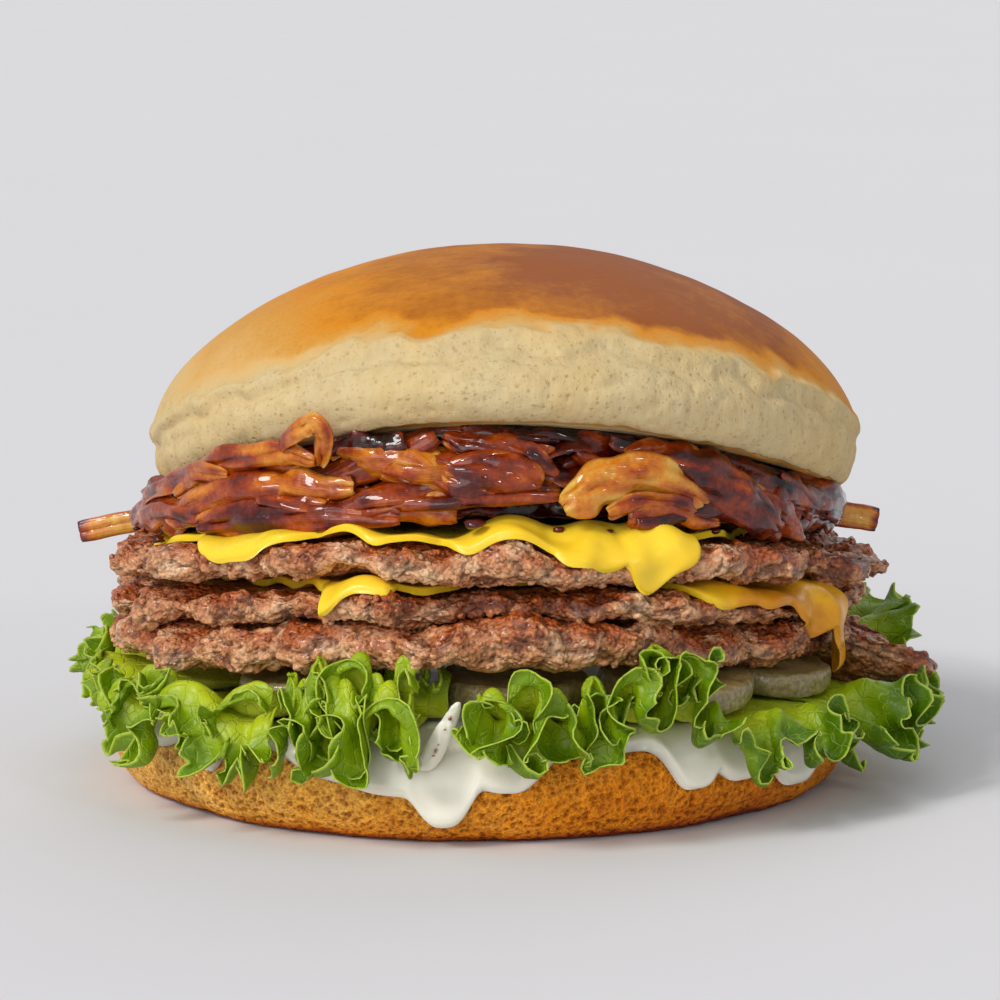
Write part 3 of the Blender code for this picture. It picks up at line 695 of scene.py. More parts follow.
class CrumbFinish(Finish):
    """Toasted open crumb: orange brown with many small holes."""

    def nodes(self, graph: Graph) -> dict[str, object]:
        """Colour by bake and mottle, with painted shade on the right side through the mark bake, and painted
        shade in the holes and pits.

        Args:
            graph: Graph of the material.

        Returns:
            Sockets or values by the name of the shader's input.
        """
        value, fine = graph.group(Effect.MOTTLE, Scale=90.0, Contrast=1.5)
        hole, depth = graph.group(Effect.PORES, Scale=1250.0, Width=0.62)
        colour = graph.ramp(graph.plus(graph.mark("bake"), graph.swing(value, 0.5), True),
                            (0.0, 255, 204, 110), (0.3, 255, 182, 72), (0.55, 250, 150, 26),
                            (0.8, 206, 102, 14), (1.0, 130, 46, 4))
        # Painted shade in the holes and in the pits of the surface.
        colour = graph.mix(graph.times(hole, 0.85), colour, (140, 64, 6))
        colour = graph.mix(graph.times(graph.mark("pit"), 0.7), colour, (138, 62, 6))
        height = graph.plus(depth, graph.times(fine, 0.4))
        return {"Base Color": colour, "Roughness": 0.62, "Normal": graph.bumped(height, 0.38)}


class MeatFinish(Finish):
    """Smashed beef: grey-brown grain at the edges, red-brown shining sear on the faces, painted shade in its
    crevices and in patches at given bearings.
    """

    def nodes(self, graph: Graph) -> dict[str, object]:
        """Colour by the marks sear and pit, which also carry painted shade, with a fine grain.

        Args:
            graph: Graph of the material.

        Returns:
            Sockets or values by the name of the shader's input.
        """
        value, fine = graph.group(Effect.MOTTLE, Scale=190.0, Contrast=3.2)
        grain = graph.node("TexVoronoi", {"Vector": graph.place(), "Scale": 1100.0}).outputs[0]
        colour = graph.ramp(value, (0.0, 142, 80, 48), (0.35, 204, 138, 92), (0.6, 230, 174, 126),
                            (1.0, 250, 214, 174))
        patch = graph.span(graph.noise(170.0, 4.0, 0.7), 0.4, 0.54)
        seared = graph.ramp(fine, (0.3, 104, 36, 12), (0.55, 182, 86, 32), (0.8, 222, 136, 66))
        sear = graph.times(graph.mark("sear"), graph.plus(graph.times(patch, 0.8), 0.2))
        colour = graph.mix(sear, colour, seared)
        # Painted shade: dark in the crevices between the lumps and in the patches added at given bearings.
        colour = graph.mix(graph.span(graph.mark("pit"), 0.25, 1.0, 0.0, 0.75), colour, (74, 30, 14))
        gloss = graph.span(graph.noise(420.0), 0.44, 0.58, 0.55, 0.2)
        height = graph.plus(graph.span(grain, 0.1, 0.7, 1.0, 0.0), graph.times(fine, 0.8))
        return {"Base Color": colour, "Roughness": gloss, "Normal": graph.bumped(height, 0.42)}


class CheeseFinish(Finish):
    """Melted yellow cheese: smooth, deeper in tone where it is thin or hot, and darker where painted shade is
    added.
    """

    def nodes(self, graph: Graph) -> dict[str, object]:
        """Colour by the mark melt, which also carries painted shade, and a broad mottle.

        Args:
            graph: Graph of the material.

        Returns:
            Sockets or values by the name of the shader's input.
        """
        value, _ = graph.group(Effect.MOTTLE, Scale=60.0, Contrast=1.6)
        tone = graph.plus(graph.times(graph.mark("melt"), 0.35), graph.times(value, 0.4), True)
        colour = graph.ramp(tone, (0.0, 255, 222, 88), (0.4, 255, 212, 56), (0.75, 255, 198, 30),
                            (1.0, 206, 132, 14))
        normal = graph.bumped(graph.noise(260.0, 2.0), 0.15)
        return {"Base Color": colour, "Roughness": graph.span(value, 0.3, 0.7, 0.26, 0.4), "Normal": normal}


class OnionFinish(Finish):
    """Onion fried in its own sugar: amber to dark red brown with fine fibres along each strip."""

    def nodes(self, graph: Graph) -> dict[str, object]:
        """Colour by the mark tone, which also carries painted shade, with lines across the mark fibre.

        Args:
            graph: Graph of the material.

        Returns:
            Sockets or values by the name of the shader's input.
        """
        tone = graph.mark("tone")
        wander = graph.times(graph.noise(240.0), 9.0)
        line = graph.math("SINE", graph.plus(graph.times(graph.mark("fibre"), 70.0), wander), 0.0)
        fibre = graph.span(line, -0.2, 1.0)
        value, _ = graph.group(Effect.MOTTLE, Scale=130.0, Contrast=2.0)
        colour = graph.ramp(graph.plus(tone, graph.swing(value, 0.66), True),
                            (0.0, 34, 5, 3), (0.22, 104, 26, 4), (0.46, 178, 70, 8),
                            (0.72, 232, 136, 30), (1.0, 252, 204, 90))
        colour = graph.mix(graph.times(fibre, graph.span(tone, 0.5, 1.0, 0.0, 0.2)), colour, (226, 150, 60))
        height = graph.plus(graph.times(fibre, 0.04), graph.noise(360.0, 2.0, 0.5))
        return {"Base Color": colour, "Roughness": 0.3, "Normal": graph.bumped(height, 0.6)}


class LeafFinish(Finish):
    """Frilled lettuce: pale at the ribs, fresh green at the edge, with branching veins."""

    def nodes(self, graph: Graph) -> dict[str, object]:
        """Colour by the mark rim, which also carries painted shade on the right side, veins by the edges of
        wobbled cells.

        Args:
            graph: Graph of the material.

        Returns:
            Sockets or values by the name of the shader's input.
        """
        value, fine = graph.group(Effect.MOTTLE, Scale=90.0, Contrast=1.8)
        bent = graph.wobbled(graph.place(), 200.0, 2.0, 0.004)
        cracks = graph.node("TexVoronoi", {"Vector": bent, "Scale": 420.0}, feature="DISTANCE_TO_EDGE")
        line = graph.span(cracks.outputs[0], 0.0, 0.07, 1.0, 0.0)
        tone = graph.plus(graph.times(graph.mark("rim"), 0.6), graph.times(value, 0.45), True)
        colour = graph.ramp(tone, (0.0, 204, 208, 84), (0.3, 180, 194, 32), (0.6, 142, 168, 12),
                            (0.85, 108, 140, 6), (1.0, 74, 108, 2))
        colour = graph.mix(graph.times(line, 0.18), colour, (186, 204, 90))
        colour = graph.mix(graph.span(graph.mark("lip"), 0.3, 1.0, 0.0, 0.5), colour, (204, 220, 90))
        height = graph.plus(graph.times(line, -0.3), graph.times(fine, 0.5))
        return {"Base Color": colour, "Roughness": 0.38, "Normal": graph.bumped(height, 0.35)}


class PickleFinish(Finish):
    """Pickled cucumber: olive flesh, darker skin, wet."""

    def nodes(self, graph: Graph) -> dict[str, object]:
        """Colour by the mark skin and a mottle.

        Args:
            graph: Graph of the material.

        Returns:
            Sockets or values by the name of the shader's input.
        """
        value, fine = graph.group(Effect.MOTTLE, Scale=160.0, Contrast=2.0)
        flesh = graph.ramp(value, (0.2, 112, 96, 44), (0.55, 158, 138, 84), (0.9, 190, 170, 118))
        peel = graph.ramp(fine, (0.3, 110, 98, 56), (0.7, 168, 152, 108))
        colour = graph.mix(graph.mark("skin"), flesh, peel)
        return {"Base Color": colour, "Roughness": 0.3, "Normal": graph.bumped(fine, 0.2)}


class SauceFinish(Finish):
    """White sauce: creamy and glossy with the faintest warmth in it."""

    def nodes(self, graph: Graph) -> dict[str, object]:
        """Colour by a broad mottle.

        Args:
            graph: Graph of the material.

        Returns:
            Sockets or values by the name of the shader's input.
        """
        value, _ = graph.group(Effect.MOTTLE, Scale=50.0, Contrast=1.4)
        colour = graph.ramp(value, (0.2, 226, 221, 202), (0.8, 238, 234, 218))
        return {"Base Color": colour, "Roughness": 0.24, "Normal": graph.bumped(graph.noise(180.0, 2.0), 0.2)}


class FloorFinish(Finish):
    """Plain pale studio floor."""

    def nodes(self, graph: Graph) -> dict[str, object]:
        """A pale grey with a trace of mottle.

        Args:
            graph: Graph of the material.

        Returns:
            Sockets or values by the name of the shader's input.
        """
        value, _ = graph.group(Effect.MOTTLE, Scale=3.0, Contrast=0.6)
        colour = graph.ramp(value, (0.0, 215, 214, 215), (1.0, 221, 219, 220))
        return {"Base Color": colour, "Roughness": 0.85}


# Boundaries between the layers


@dataclass(frozen=True)
class Level:
    """Boundary of two layers: heights at the edge in front, at the sides, behind, and at the middle."""

    front: float
    side: float
    back: float
    middle: float
    wave: int = 0
    lifts: tuple[tuple[float, float, float], ...] = ()

    def edge(self, angle: Array) -> Array:
        """Height at the edge: front, sides and back joined by two cosines.

        Args:
            angle: Bearings in degrees.

        Returns:
            Heights.
        """
        twist = (self.front + self.back - 2.0 * self.side) / 4.0
        lean = (self.front - self.back) / 2.0
        turn = np.radians(angle)
        return self.side + twist + lean * np.cos(turn) + twist * np.cos(2.0 * turn)

    def at(self, radius: Array, angle: Array, wavy: bool = False) -> Array:
        """Height at a radius: a parabola from the middle, rippled towards the edge where asked.

        Args:
            radius: Distance from the axis.
            angle: Bearings in degrees.
            wavy: Whether the ripple of the edge is added.

        Returns:
            Heights.
        """
        share = (np.asarray(radius, float) / EDGE) ** 2
        height = self.middle + (self.edge(angle) - self.middle) * share
        if wavy and self.wave:
            fade = np.clip((np.asarray(radius, float) - INNER_RING) / (EDGE - INNER_RING), 0.0, 1.3)
            rough = ripple(angle, self.wave, (5, 9, 14), 0.8)
            for where, rise, half in self.lifts:
                rough = rough + rise * bump(angle, where, half)
            height = height + rough * fade ** 2
        return height


HEEL_TOP = Level(15.0, 11.6, 13.0, 14.0)
SAUCE_TOP = Level(16.7, 13.3, 14.7, 15.6)
PATTY_LOW_BASE = Level(25.6, 18.6, 21.0, 23.2, 21)
PATTY_LOW_TOP = Level(32.4, 24.2, 26.8, 28.8, 22)
PATTY_MID_TOP = Level(36.6, 29.2, 31.8, 33.6, 23, ((-19.0, 1.5, 10.0),))
PATTY_TOP_BASE = Level(38.2, 31.0, 33.6, 35.6, 23, ((-19.0, 1.5, 10.0),))
PATTY_TOP_TOP = Level(44.2, 35.6, 38.8, 40.8, 24, ((-9.0, 0.9, 8.0),))
ONION_BASE = Level(46.2, 37.6, 40.8, 42.8)
CROWN_BASE = Level(59.8, 43.9, 47.2, 52.2)


@dataclass
class Rim:
    """Rounded edge of a layer: radius, middle height, half height and roundness by bearing."""

    top: Level
    middle: Array
    height: Array
    radius: Array
    roundness: Array

    def arc(self) -> Array:
        """Length round the edge: a quarter turn of the root mean square of its two half widths."""
        return QUARTER * np.sqrt(0.5 * (self.roundness ** 2 + self.height ** 2))


def draped(rim: Rim, angle: Array, reach: Array, rows: int, grow: Array | float) -> Array:
    """Grid of a sheet that lies on a layer and hangs over its rounded edge.

    The length from the axis runs along the flat, then a quarter of an ellipse, then straight down.

    Args:
        rim: Edge of the layer.
        angle: Bearings of the columns.
        reach: Length of each column.
        rows: Rows of the grid.
        grow: Distance of the sheet from the layer, for all or for each point.

    Returns:
        Points, columns by rows by three.
    """
    start = rim.radius - rim.roundness
    arc = rim.arc()
    share = np.linspace(0.0, 1.0, rows)[None, :] ** 0.6
    first = 30.0
    length = first + (reach[:, None] - first) * share
    begin = start[:, None]
    turn = QUARTER * np.clip((length - begin) / arc[:, None], 0.0, 1.0)
    flat = rim.top.at(np.minimum(length, begin), angle[:, None], True) - GAP / 2.0 + grow
    low = (rim.middle + rim.height)[:, None]
    slump = low - (rim.top.at(begin, angle[:, None], True) - GAP / 2.0)
    flat = flat + slump * ease((length - first) / (begin - first))
    radius = np.where(length <= begin, length, begin + (rim.roundness[:, None] + grow) * np.sin(turn))
    bent = rim.middle[:, None] + (rim.height[:, None] + grow) * np.cos(turn)
    height = np.where(length <= begin, flat, bent)
    hang = np.maximum(length - begin - arc[:, None], 0.0)
    return place(radius, angle[:, None], height - hang)


def sheet_form(
    rim: Rim, angle: Array, reach: Array, thick: float, rows: int, bead: float, lift: Array | float
) -> Form:
    """Closed soft sheet with a round, slightly swollen edge.

    Args:
        rim: Edge of the layer below.
        angle: Bearings.
        reach: Length of the sheet by bearing.
        thick: Thickness.
        rows: Rows of each face.
        bead: Extra thickness near the edge, as a share.
        lift: Extra distance from the layer for the lower face.

    Returns:
        The closed form with the mark melt, which is 1 at the edge.
    """
    v = np.linspace(0.0, 1.0, rows)[None, :]
    swell = thick * (1.0 + bead * np.exp(-((1.0 - v) / 0.12) ** 2)) * np.sqrt(1.0 - v ** 40)
    inside = draped(rim, angle, reach, rows, GAP + lift)
    outside = draped(rim, angle, reach, rows, GAP + lift + swell)
    grid = np.concatenate([inside, outside[:, ::-1]], axis=1)
    melt = np.broadcast_to(v, (len(angle), rows))
    marks = {"melt": np.concatenate([melt, melt[:, ::-1]], axis=1)}
    middle = rim.top.middle - GAP / 2.0 + GAP
    return Form.shell(grid, (0.0, 0.0, middle), (0.0, 0.0, middle + thick), marks)


def profile(angle: Array, parts: list[tuple[Array, Array]]) -> tuple[Array, Array]:
    """Radius and height of every point of a turned surface.

    Args:
        angle: Bearings of the columns.
        parts: Stretches of the section in order, each a radius and a height, one row or one per bearing.

    Returns:
        Two arrays, columns by rows.
    """
    whole = []
    for pair in parts:
        wide = max(np.shape(p)[1] for p in pair)
        whole.append([np.broadcast_to(p, (len(angle), wide)) for p in pair])
    radius, height = (np.concatenate([w[k] for w in whole], axis=1) for k in (0, 1))
    return radius, height


def bearings(count: int) -> Array:
    """Evenly spread bearings in degrees, from the front."""
    return np.arange(count) * 360.0 / count


# The buns


@dataclass
class LowerBun:
    """Flared disc of toasted crumb with a flat foot."""

    radius: float = 56.9
    foot: float = 51.5
    flare: float = 8.0
    shoulder: float = 4.6
    columns: int = 880

    def rim(self, angle: Array) -> Rim:
        """Edge that the sauce hangs over.

        Args:
            angle: Bearings in degrees.

        Returns:
            The edge, by bearing.
        """
        wide = self.radius + ripple(angle, 3, (2, 3, 5), 0.35)
        half = HEEL_TOP.edge(angle) - GAP / 2.0 - self.flare
        flat = np.full_like(angle, self.flare)
        return Rim(HEEL_TOP, flat, half, wide, np.full_like(angle, self.shoulder))

    def build(self, finish: Material) -> None:
        """Profile: a quarter ellipse out from the foot, one in to the shoulder, then the flat top.

        Args:
            finish: Material of the piece.
        """
        angle = bearings(self.columns)
        rim = self.rim(angle)
        wide = rim.radius[:, None]
        foot = (self.foot + ripple(angle, 4, (2, 4), 0.3))[:, None]
        t = np.linspace(0.0, QUARTER, 42)[None, :]
        below = (foot + (wide - foot) * np.sin(t), self.flare * (1.0 - np.cos(t)))
        s = np.linspace(0.0, QUARTER, 22)[None, 1:]
        above = (wide - self.shoulder * (1.0 - np.cos(s)), self.flare + rim.height[:, None] * np.sin(s))
        inner = np.linspace(0.0, 1.0, 7)[None, 1:]
        top = (wide - self.shoulder) + (30.0 - (wide - self.shoulder)) * inner
        flat = HEEL_TOP.at(top, angle[:, None]) - GAP / 2.0
        radius, height = profile(angle, [below, above, (top, flat)])
        grid = place(radius, angle[:, None], height)
        rows = radius.shape[1]
        side = np.ones(rows)
        side[:2] = 0.0
        side[-6:] = 0.0
        hollow, number = cells(grid + 0.25 * noise(grid, 6)[..., None], 1.05, 5)
        pit = ease((0.3 + 0.26 * number - hollow) / 0.25)
        push = 0.3 * layers(grid, 14.0, 3, 2) - 0.42 * pit + 0.12 * layers(grid, 1.6, 2, 8)
        grid = grid + outwards(grid) * (push * side)[..., None]
        grid[..., 2] = np.maximum(grid[..., 2], 0.0)
        # Painted light and shade: the crumb is darker towards the right, away from the key light, and paler
        # at the front left, where it falls.
        right = 0.2 * np.sin(np.radians(angle))
        right = right - 0.08 * bump(angle, -48.0, 36.0) + 0.06 * bump(angle, 14.0, 26.0)
        bake = 0.48 + right[:, None] + 0.12 * layers(grid, 22.0, 3, 9)
        bake = bake + 0.6 * np.exp(-(height / 1.1) ** 2) - 0.1 * ease(height / 12.0)
        marks = {"bake": bake, "pit": pit * side}
        form = Form.shell(grid, (0.0, 0.0, 0.0), (0.0, 0.0, HEEL_TOP.middle - GAP / 2.0), marks)
        form.outward().make("lower_bun", finish, "crumb", ("bun_bottom",))


@dataclass
class UpperBun:
    """Leaning dome: brown crust above a pale torn side, its cut rim high in front."""

    radius: float = 54.0
    rim: float = 50.2
    shift: float = 3.9
    top: float = 81.0
    fullness: float = 0.6
    columns: int = 680

    def torn(self, angle: Array) -> Array:
        """Height of the torn line between crust and pale side: high in front, low at the sides.

        Args:
            angle: Bearings in degrees.

        Returns:
            Heights.
        """
        turn = np.radians(angle)
        front = 20.0 * np.maximum(np.cos(turn), 0.0) ** 1.3
        behind = 5.5 * np.maximum(-np.cos(turn), 0.0) ** 1.3
        return 52.0 + front + behind + 1.0 * np.sin(turn) + ripple(angle, 61, (5, 9, 13), 0.6)

    def build(self, finish: Material) -> None:
        """Profile: cut face, rim rounded out to the widest line, then a full dome to the pole.

        Args:
            finish: Material of the piece.
        """
        angle = bearings(self.columns)
        base = CROWN_BASE.edge(angle) + GAP / 2.0
        wide = (self.radius + ripple(angle, 8, (2, 3, 5), 0.3))[:, None]
        swell = (base + 0.22 * (self.top - base))[:, None]
        cut = np.linspace(0.0, 1.0, 6)[None, :]
        inner = INNER_RING * cut + 14.0 * (1.0 - cut)
        rows = [(inner, CROWN_BASE.at(inner, angle[:, None]) + GAP / 2.0)]
        edge = np.linspace(0.0, 1.0, 7)[None, 1:]
        level = CROWN_BASE.at(INNER_RING, angle)[:, None] + GAP / 2.0
        rows.append((INNER_RING + (self.rim - INNER_RING) * edge, level + (base[:, None] - level) * edge))
        t = np.linspace(0.0, QUARTER, 18)[None, 1:]
        rounded = self.rim + (wide - self.rim) * np.sin(t) ** 0.8
        rows.append((rounded, base[:, None] + (swell - base[:, None]) * (1.0 - np.cos(t))))
        u = np.linspace(0.0, 1.0, 92)[None, 1:]
        share = np.cos(QUARTER * u * 0.985)
        rise = (1.0 - share ** 2) ** self.fullness
        rows.append((share * wide, swell + (self.top - swell) * rise))
        radius, height = profile(angle, rows)
        grid = place(radius, angle[:, None], height, self.shift)
        side = np.ones(radius.shape[1])
        side[:11] = 0.0
        line = self.torn(angle)[:, None] + 1.2 * layers(grid, 6.0, 3, 71)
        over = height - line
        lip = 0.8 * np.exp(-(over / 1.0) ** 2) - 0.7 * np.exp(-((over + 1.9) / 1.2) ** 2)
        front = 0.35 + 0.65 * ease((np.cos(np.radians(angle)) + 0.4) / 1.0)[:, None]
        below = (over + 5.5 + 2.0 * layers(grid, 18.0, 2, 33)) / 0.7
        crease = -0.5 * np.exp(-below ** 2) * ease(layers(grid, 20.0, 2, 37) * 2.0)
        rough = ease(-over / 2.0)
        pits, _ = cells(grid * np.array([1.0, 1.0, 0.7]), 2.2, 12)
        push = (lip + crease) * front + 0.25 * layers(grid, 16.0, 3, 3)
        push = push + rough * (0.28 * layers(grid, 3.4, 3, 15) - 0.3 * ease((0.3 - pits) / 0.2))
        grid = grid + outwards(grid) * (push * side)[..., None]
        crown = ease((height - 56.0) / 24.0)
        # Painted shade: the crust is darker towards the right, away from the key light.
        right = ease(0.5 + grid[..., 0] / (2.2 * self.radius))
        bake = 0.21 + 0.42 * crown + 0.5 * right + 0.08 * layers(grid, 26.0, 3, 21)
        bake = bake * ease((over + 1.0) / (5.0 + 2.5 * layers(grid, 9.0, 2, 27)))
        bake = bake + 0.05 + 0.06 * layers(grid, 12.0, 3, 25)
        bake = bake + 0.6 * np.exp(-((height - base[:, None]) / 0.12) ** 2)
        low = (self.shift, 0.0, CROWN_BASE.middle + GAP / 2.0)
        form = Form.shell(grid, low, (self.shift, 0.0, self.top), {"bake": np.clip(bake, 0.0, 1.0)})
        form.outward().make("upper_bun", finish, "crust", ("bun_top",))

    def under(self, radius: Array, angle: Array) -> Array:
        """Height of the cut face over a point given from the middle of the burger.

        Args:
            radius: Distances from the axis.
            angle: Bearings in degrees.

        Returns:
            Heights.
        """
        x = radius * np.sin(np.radians(angle)) - self.shift
        y = -radius * np.cos(np.radians(angle))
        far = np.hypot(x, y)
        turn = np.degrees(np.arctan2(x, -y))
        share = np.clip((far - INNER_RING) / (self.rim - INNER_RING), 0.0, 1.0)
        inner = CROWN_BASE.at(np.minimum(far, INNER_RING), turn)
        return inner + (CROWN_BASE.edge(turn) - inner) * share


# Sauce, meat and cheese


@dataclass
class Sauce:
    """White layer on the lower bun that hangs down in round drips, with a smear standing in front."""

    lip: float = 12.6
    thick: float = 1.4
    columns: int = 640
    drips: tuple[tuple[float, float, float], ...] = (
        (-85.0, 2.2, 8.0), (-58.0, 1.8, 7.0), (-43.0, 3.7, 3.0), (-20.0, 3.4, 8.0), (-9.0, 5.6, 11.0),
        (-4.8, 9.2, 5.2), (4.0, 4.6, 6.0), (32.5, 5.5, 4.4), (42.0, 4.8, 7.0), (53.5, 6.9, 7.0),
        (67.0, 4.4, 8.0), (84.0, 2.8, 9.0), (118.0, 3.6, 11.0), (152.0, 2.4, 12.0), (183.0, 3.8, 10.0),
        (-146.0, 3.2, 11.0), (-114.0, 2.6, 10.0))

    def low(self, angle: Array) -> Array:
        """Height of the lower edge: the lip less the fourth root of the sum of the drips' fourth powers.

        Args:
            angle: Bearings in degrees.

        Returns:
            Heights.
        """
        total = sum((depth * bump(angle, where, half, 3.0)) ** 4 for where, depth, half in self.drips)
        lip = self.lip + (HEEL_TOP.edge(angle) - HEEL_TOP.front) * 0.6
        return np.maximum(lip - total ** 0.25, 2.9) + ripple(angle, 77, (19, 31), 0.25)

    def build(self, bun: LowerBun, finish: Material) -> None:
        """The draped sheet, and a smear that is a flattened, drawn-out drop.

        Args:
            bun: Bun that the sauce lies on.
            finish: Material of the piece.
        """
        angle = bearings(self.columns)
        rim = bun.rim(angle)
        start = rim.radius - rim.roundness
        arc = rim.arc()
        drop = rim.middle + rim.height - self.low(angle)
        share = np.clip(drop / rim.height, 0.0, 1.0)
        round_part = arc * (2.0 / math.pi) * np.arccos(1.0 - share)
        reach = start + np.where(drop < rim.height, round_part, arc + drop - rim.height)
        sheet = sheet_form(rim, angle, reach, self.thick, 40, 0.5, 0.0)
        turn = np.linspace(0.0, 360.0, 48, endpoint=False)[:, None]
        rise = np.radians(np.linspace(-86.0, 86.0, 40))[None, :]
        wide = np.cos(rise) ** 0.7 * (1.0 - 0.35 * np.sin(rise))
        height = 16.6 + 5.0 * np.sin(rise) + 0.0 * turn
        out = 59.6 + 0.8 * wide * np.cos(np.radians(turn)) + 0.5 * np.sin(rise)
        along = -4.9 + np.degrees(1.45 * wide * np.sin(np.radians(turn)) / 58.0) + 2.2 * np.sin(rise)
        smear = place(out, along, height)
        smear = smear + 0.3 * layers(smear, 1.8, 3, 4)[..., None] * np.array([1.0, 1.0, 0.3])
        low, high = (smear[:, k].mean(axis=0) for k in (0, -1))
        blob = Form.shell(smear, low, high, {"melt": np.zeros(smear.shape[:2])})
        Form.joined([sheet.outward(), blob.outward()]).make("sauce", finish, "sauce", ("white_sauce",))


@dataclass
class Patty:
    """Thin smashed patty with a lacy, lumpy edge."""

    node: str
    base: Level
    top: Level
    seed: int
    lobes: tuple[tuple[float, float, float, float], ...] = ()
    chars: tuple[tuple[float, float, float], ...] = ((72.0, 44.0, 0.42),)
    crumbs: int = 260
    columns: int = 740

    def rim(self, angle: Array) -> Rim:
        """Edge of the patty: a lobed outline whose section is a rounded lens.

        Args:
            angle: Bearings in degrees.

        Returns:
            The edge, by bearing.
        """
        radius = EDGE + ripple(angle, self.seed, (3, 7, 11, 17, 23), 2.3)
        radius = radius + ripple(angle, self.seed + 1, (31, 43, 53), 0.6)
        drop = np.zeros_like(angle)
        for where, extra, half, fall in self.lobes:
            radius = radius + extra * bump(angle, where, half)
            drop = drop + fall * bump(angle, where, half)
        start = np.minimum(radius - 3.6, EDGE - 2.4)
        low = self.base.at(start, angle, True) + GAP / 2.0
        high = self.top.at(start, angle, True) - GAP / 2.0
        sway = ripple(angle, self.seed + 2, (13, 19, 29, 37), 0.55)
        slim = 1.0 + ripple(angle, self.seed + 4, (11, 17, 27), 0.16)
        middle = 0.5 * (low + high) - drop + sway
        return Rim(self.top, middle, 0.5 * (high - low) * slim, radius, radius - start)

    def build(self, finish: Material) -> None:
        """Section: lower face, half an ellipse round the edge, upper face, all pushed into lumps.

        Args:
            finish: Material of the piece.
        """
        angle = bearings(self.columns)
        rim = self.rim(angle)
        start = (rim.radius - rim.roundness)[:, None]
        flat = np.linspace(0.0, 1.0, 22)[None, :] ** 0.7
        inner = 34.0 + (start - 34.0) * flat
        turn = np.linspace(-QUARTER, QUARTER, 46)[None, 1:-1]
        both = [level.at(start[:, 0], angle, True) for level in (self.base, self.top)]
        drop = (rim.middle - 0.5 * (both[0] + both[1]))[:, None]
        blend = ease((inner - 44.0) / (start - 44.0))
        below = self.base.at(inner, angle[:, None], True) + GAP / 2.0 + drop * blend
        above = self.top.at(inner, angle[:, None], True) - GAP / 2.0 + drop * blend
        lens = np.sign(np.sin(turn)) * np.abs(np.sin(turn)) ** 0.8
        bulge = start + rim.roundness[:, None] * np.cos(turn) ** 0.8
        rounded = (bulge, rim.middle[:, None] + rim.height[:, None] * lens)
        radius, height = profile(angle, [(inner, below), rounded, (inner[:, ::-1], above[:, ::-1])])
        grid = place(radius, angle[:, None], height)
        edge = ease((radius - 46.0) / 8.0)
        warped = grid + 0.8 * np.stack([noise(grid / 2.4, self.seed + 60 + k) for k in range(3)], axis=-1)
        coarse, size = cells(warped, 2.5, self.seed)
        fine, grit = cells(warped, 1.0, self.seed + 7)
        pit = np.clip(ease((coarse - 0.46) / 0.4) * 0.75 + ease((fine - 0.5) / 0.35) * 0.65, 0.0, 1.0)
        push = (0.6 + 0.9 * size) * (0.42 - coarse) + (0.45 + 0.5 * grit) * (0.45 - fine)
        push = push + 1.1 * layers(grid, 6.5, 3, self.seed + 3) - 0.3
        grid = grid + outwards(grid) * (np.clip(push, -1.9, 0.6) * edge)[..., None]
        tall = np.maximum(rim.height[:, None], 0.5)
        upper = ease((height - rim.middle[:, None] + 0.35 * tall) / (0.95 * tall))
        sear = upper * (1.1 - 0.45 * ease((radius - start) / 3.4)) + 0.3 * layers(grid, 6.0, 2, self.seed + 9)
        # Darker patches at the listed bearings, raising the marks sear and pit: more sear, with painted shade
        # on the side away from the key light.
        char = sum(share * bump(angle, where, half) for where, half, share in self.chars)[:, None]
        sear = np.clip(sear + 0.12 + char, 0.0, 1.0)
        marks = {"sear": sear, "pit": np.clip(pit * edge + char, 0.0, 1.0)}
        low, high = self.base.middle + GAP / 2.0, self.top.middle - GAP / 2.0
        form = Form.shell(grid, (0.0, 0.0, low), (0.0, 0.0, high), marks)
        rng = np.random.default_rng(self.seed)
        column = rng.integers(0, self.columns, self.crumbs)
        row = rng.integers(20, grid.shape[1] - 20, self.crumbs)
        sizes = rng.uniform(0.3, 0.95, self.crumbs) ** 1.4
        values = {"sear": sear[column, row], "pit": 0.0 * sizes}
        loose = lumps(grid[column, row], sizes, 0.8, self.seed, values)
        Form.joined([form.outward(), *loose]).make(self.node + "_grain", finish, "meat", (self.node,))


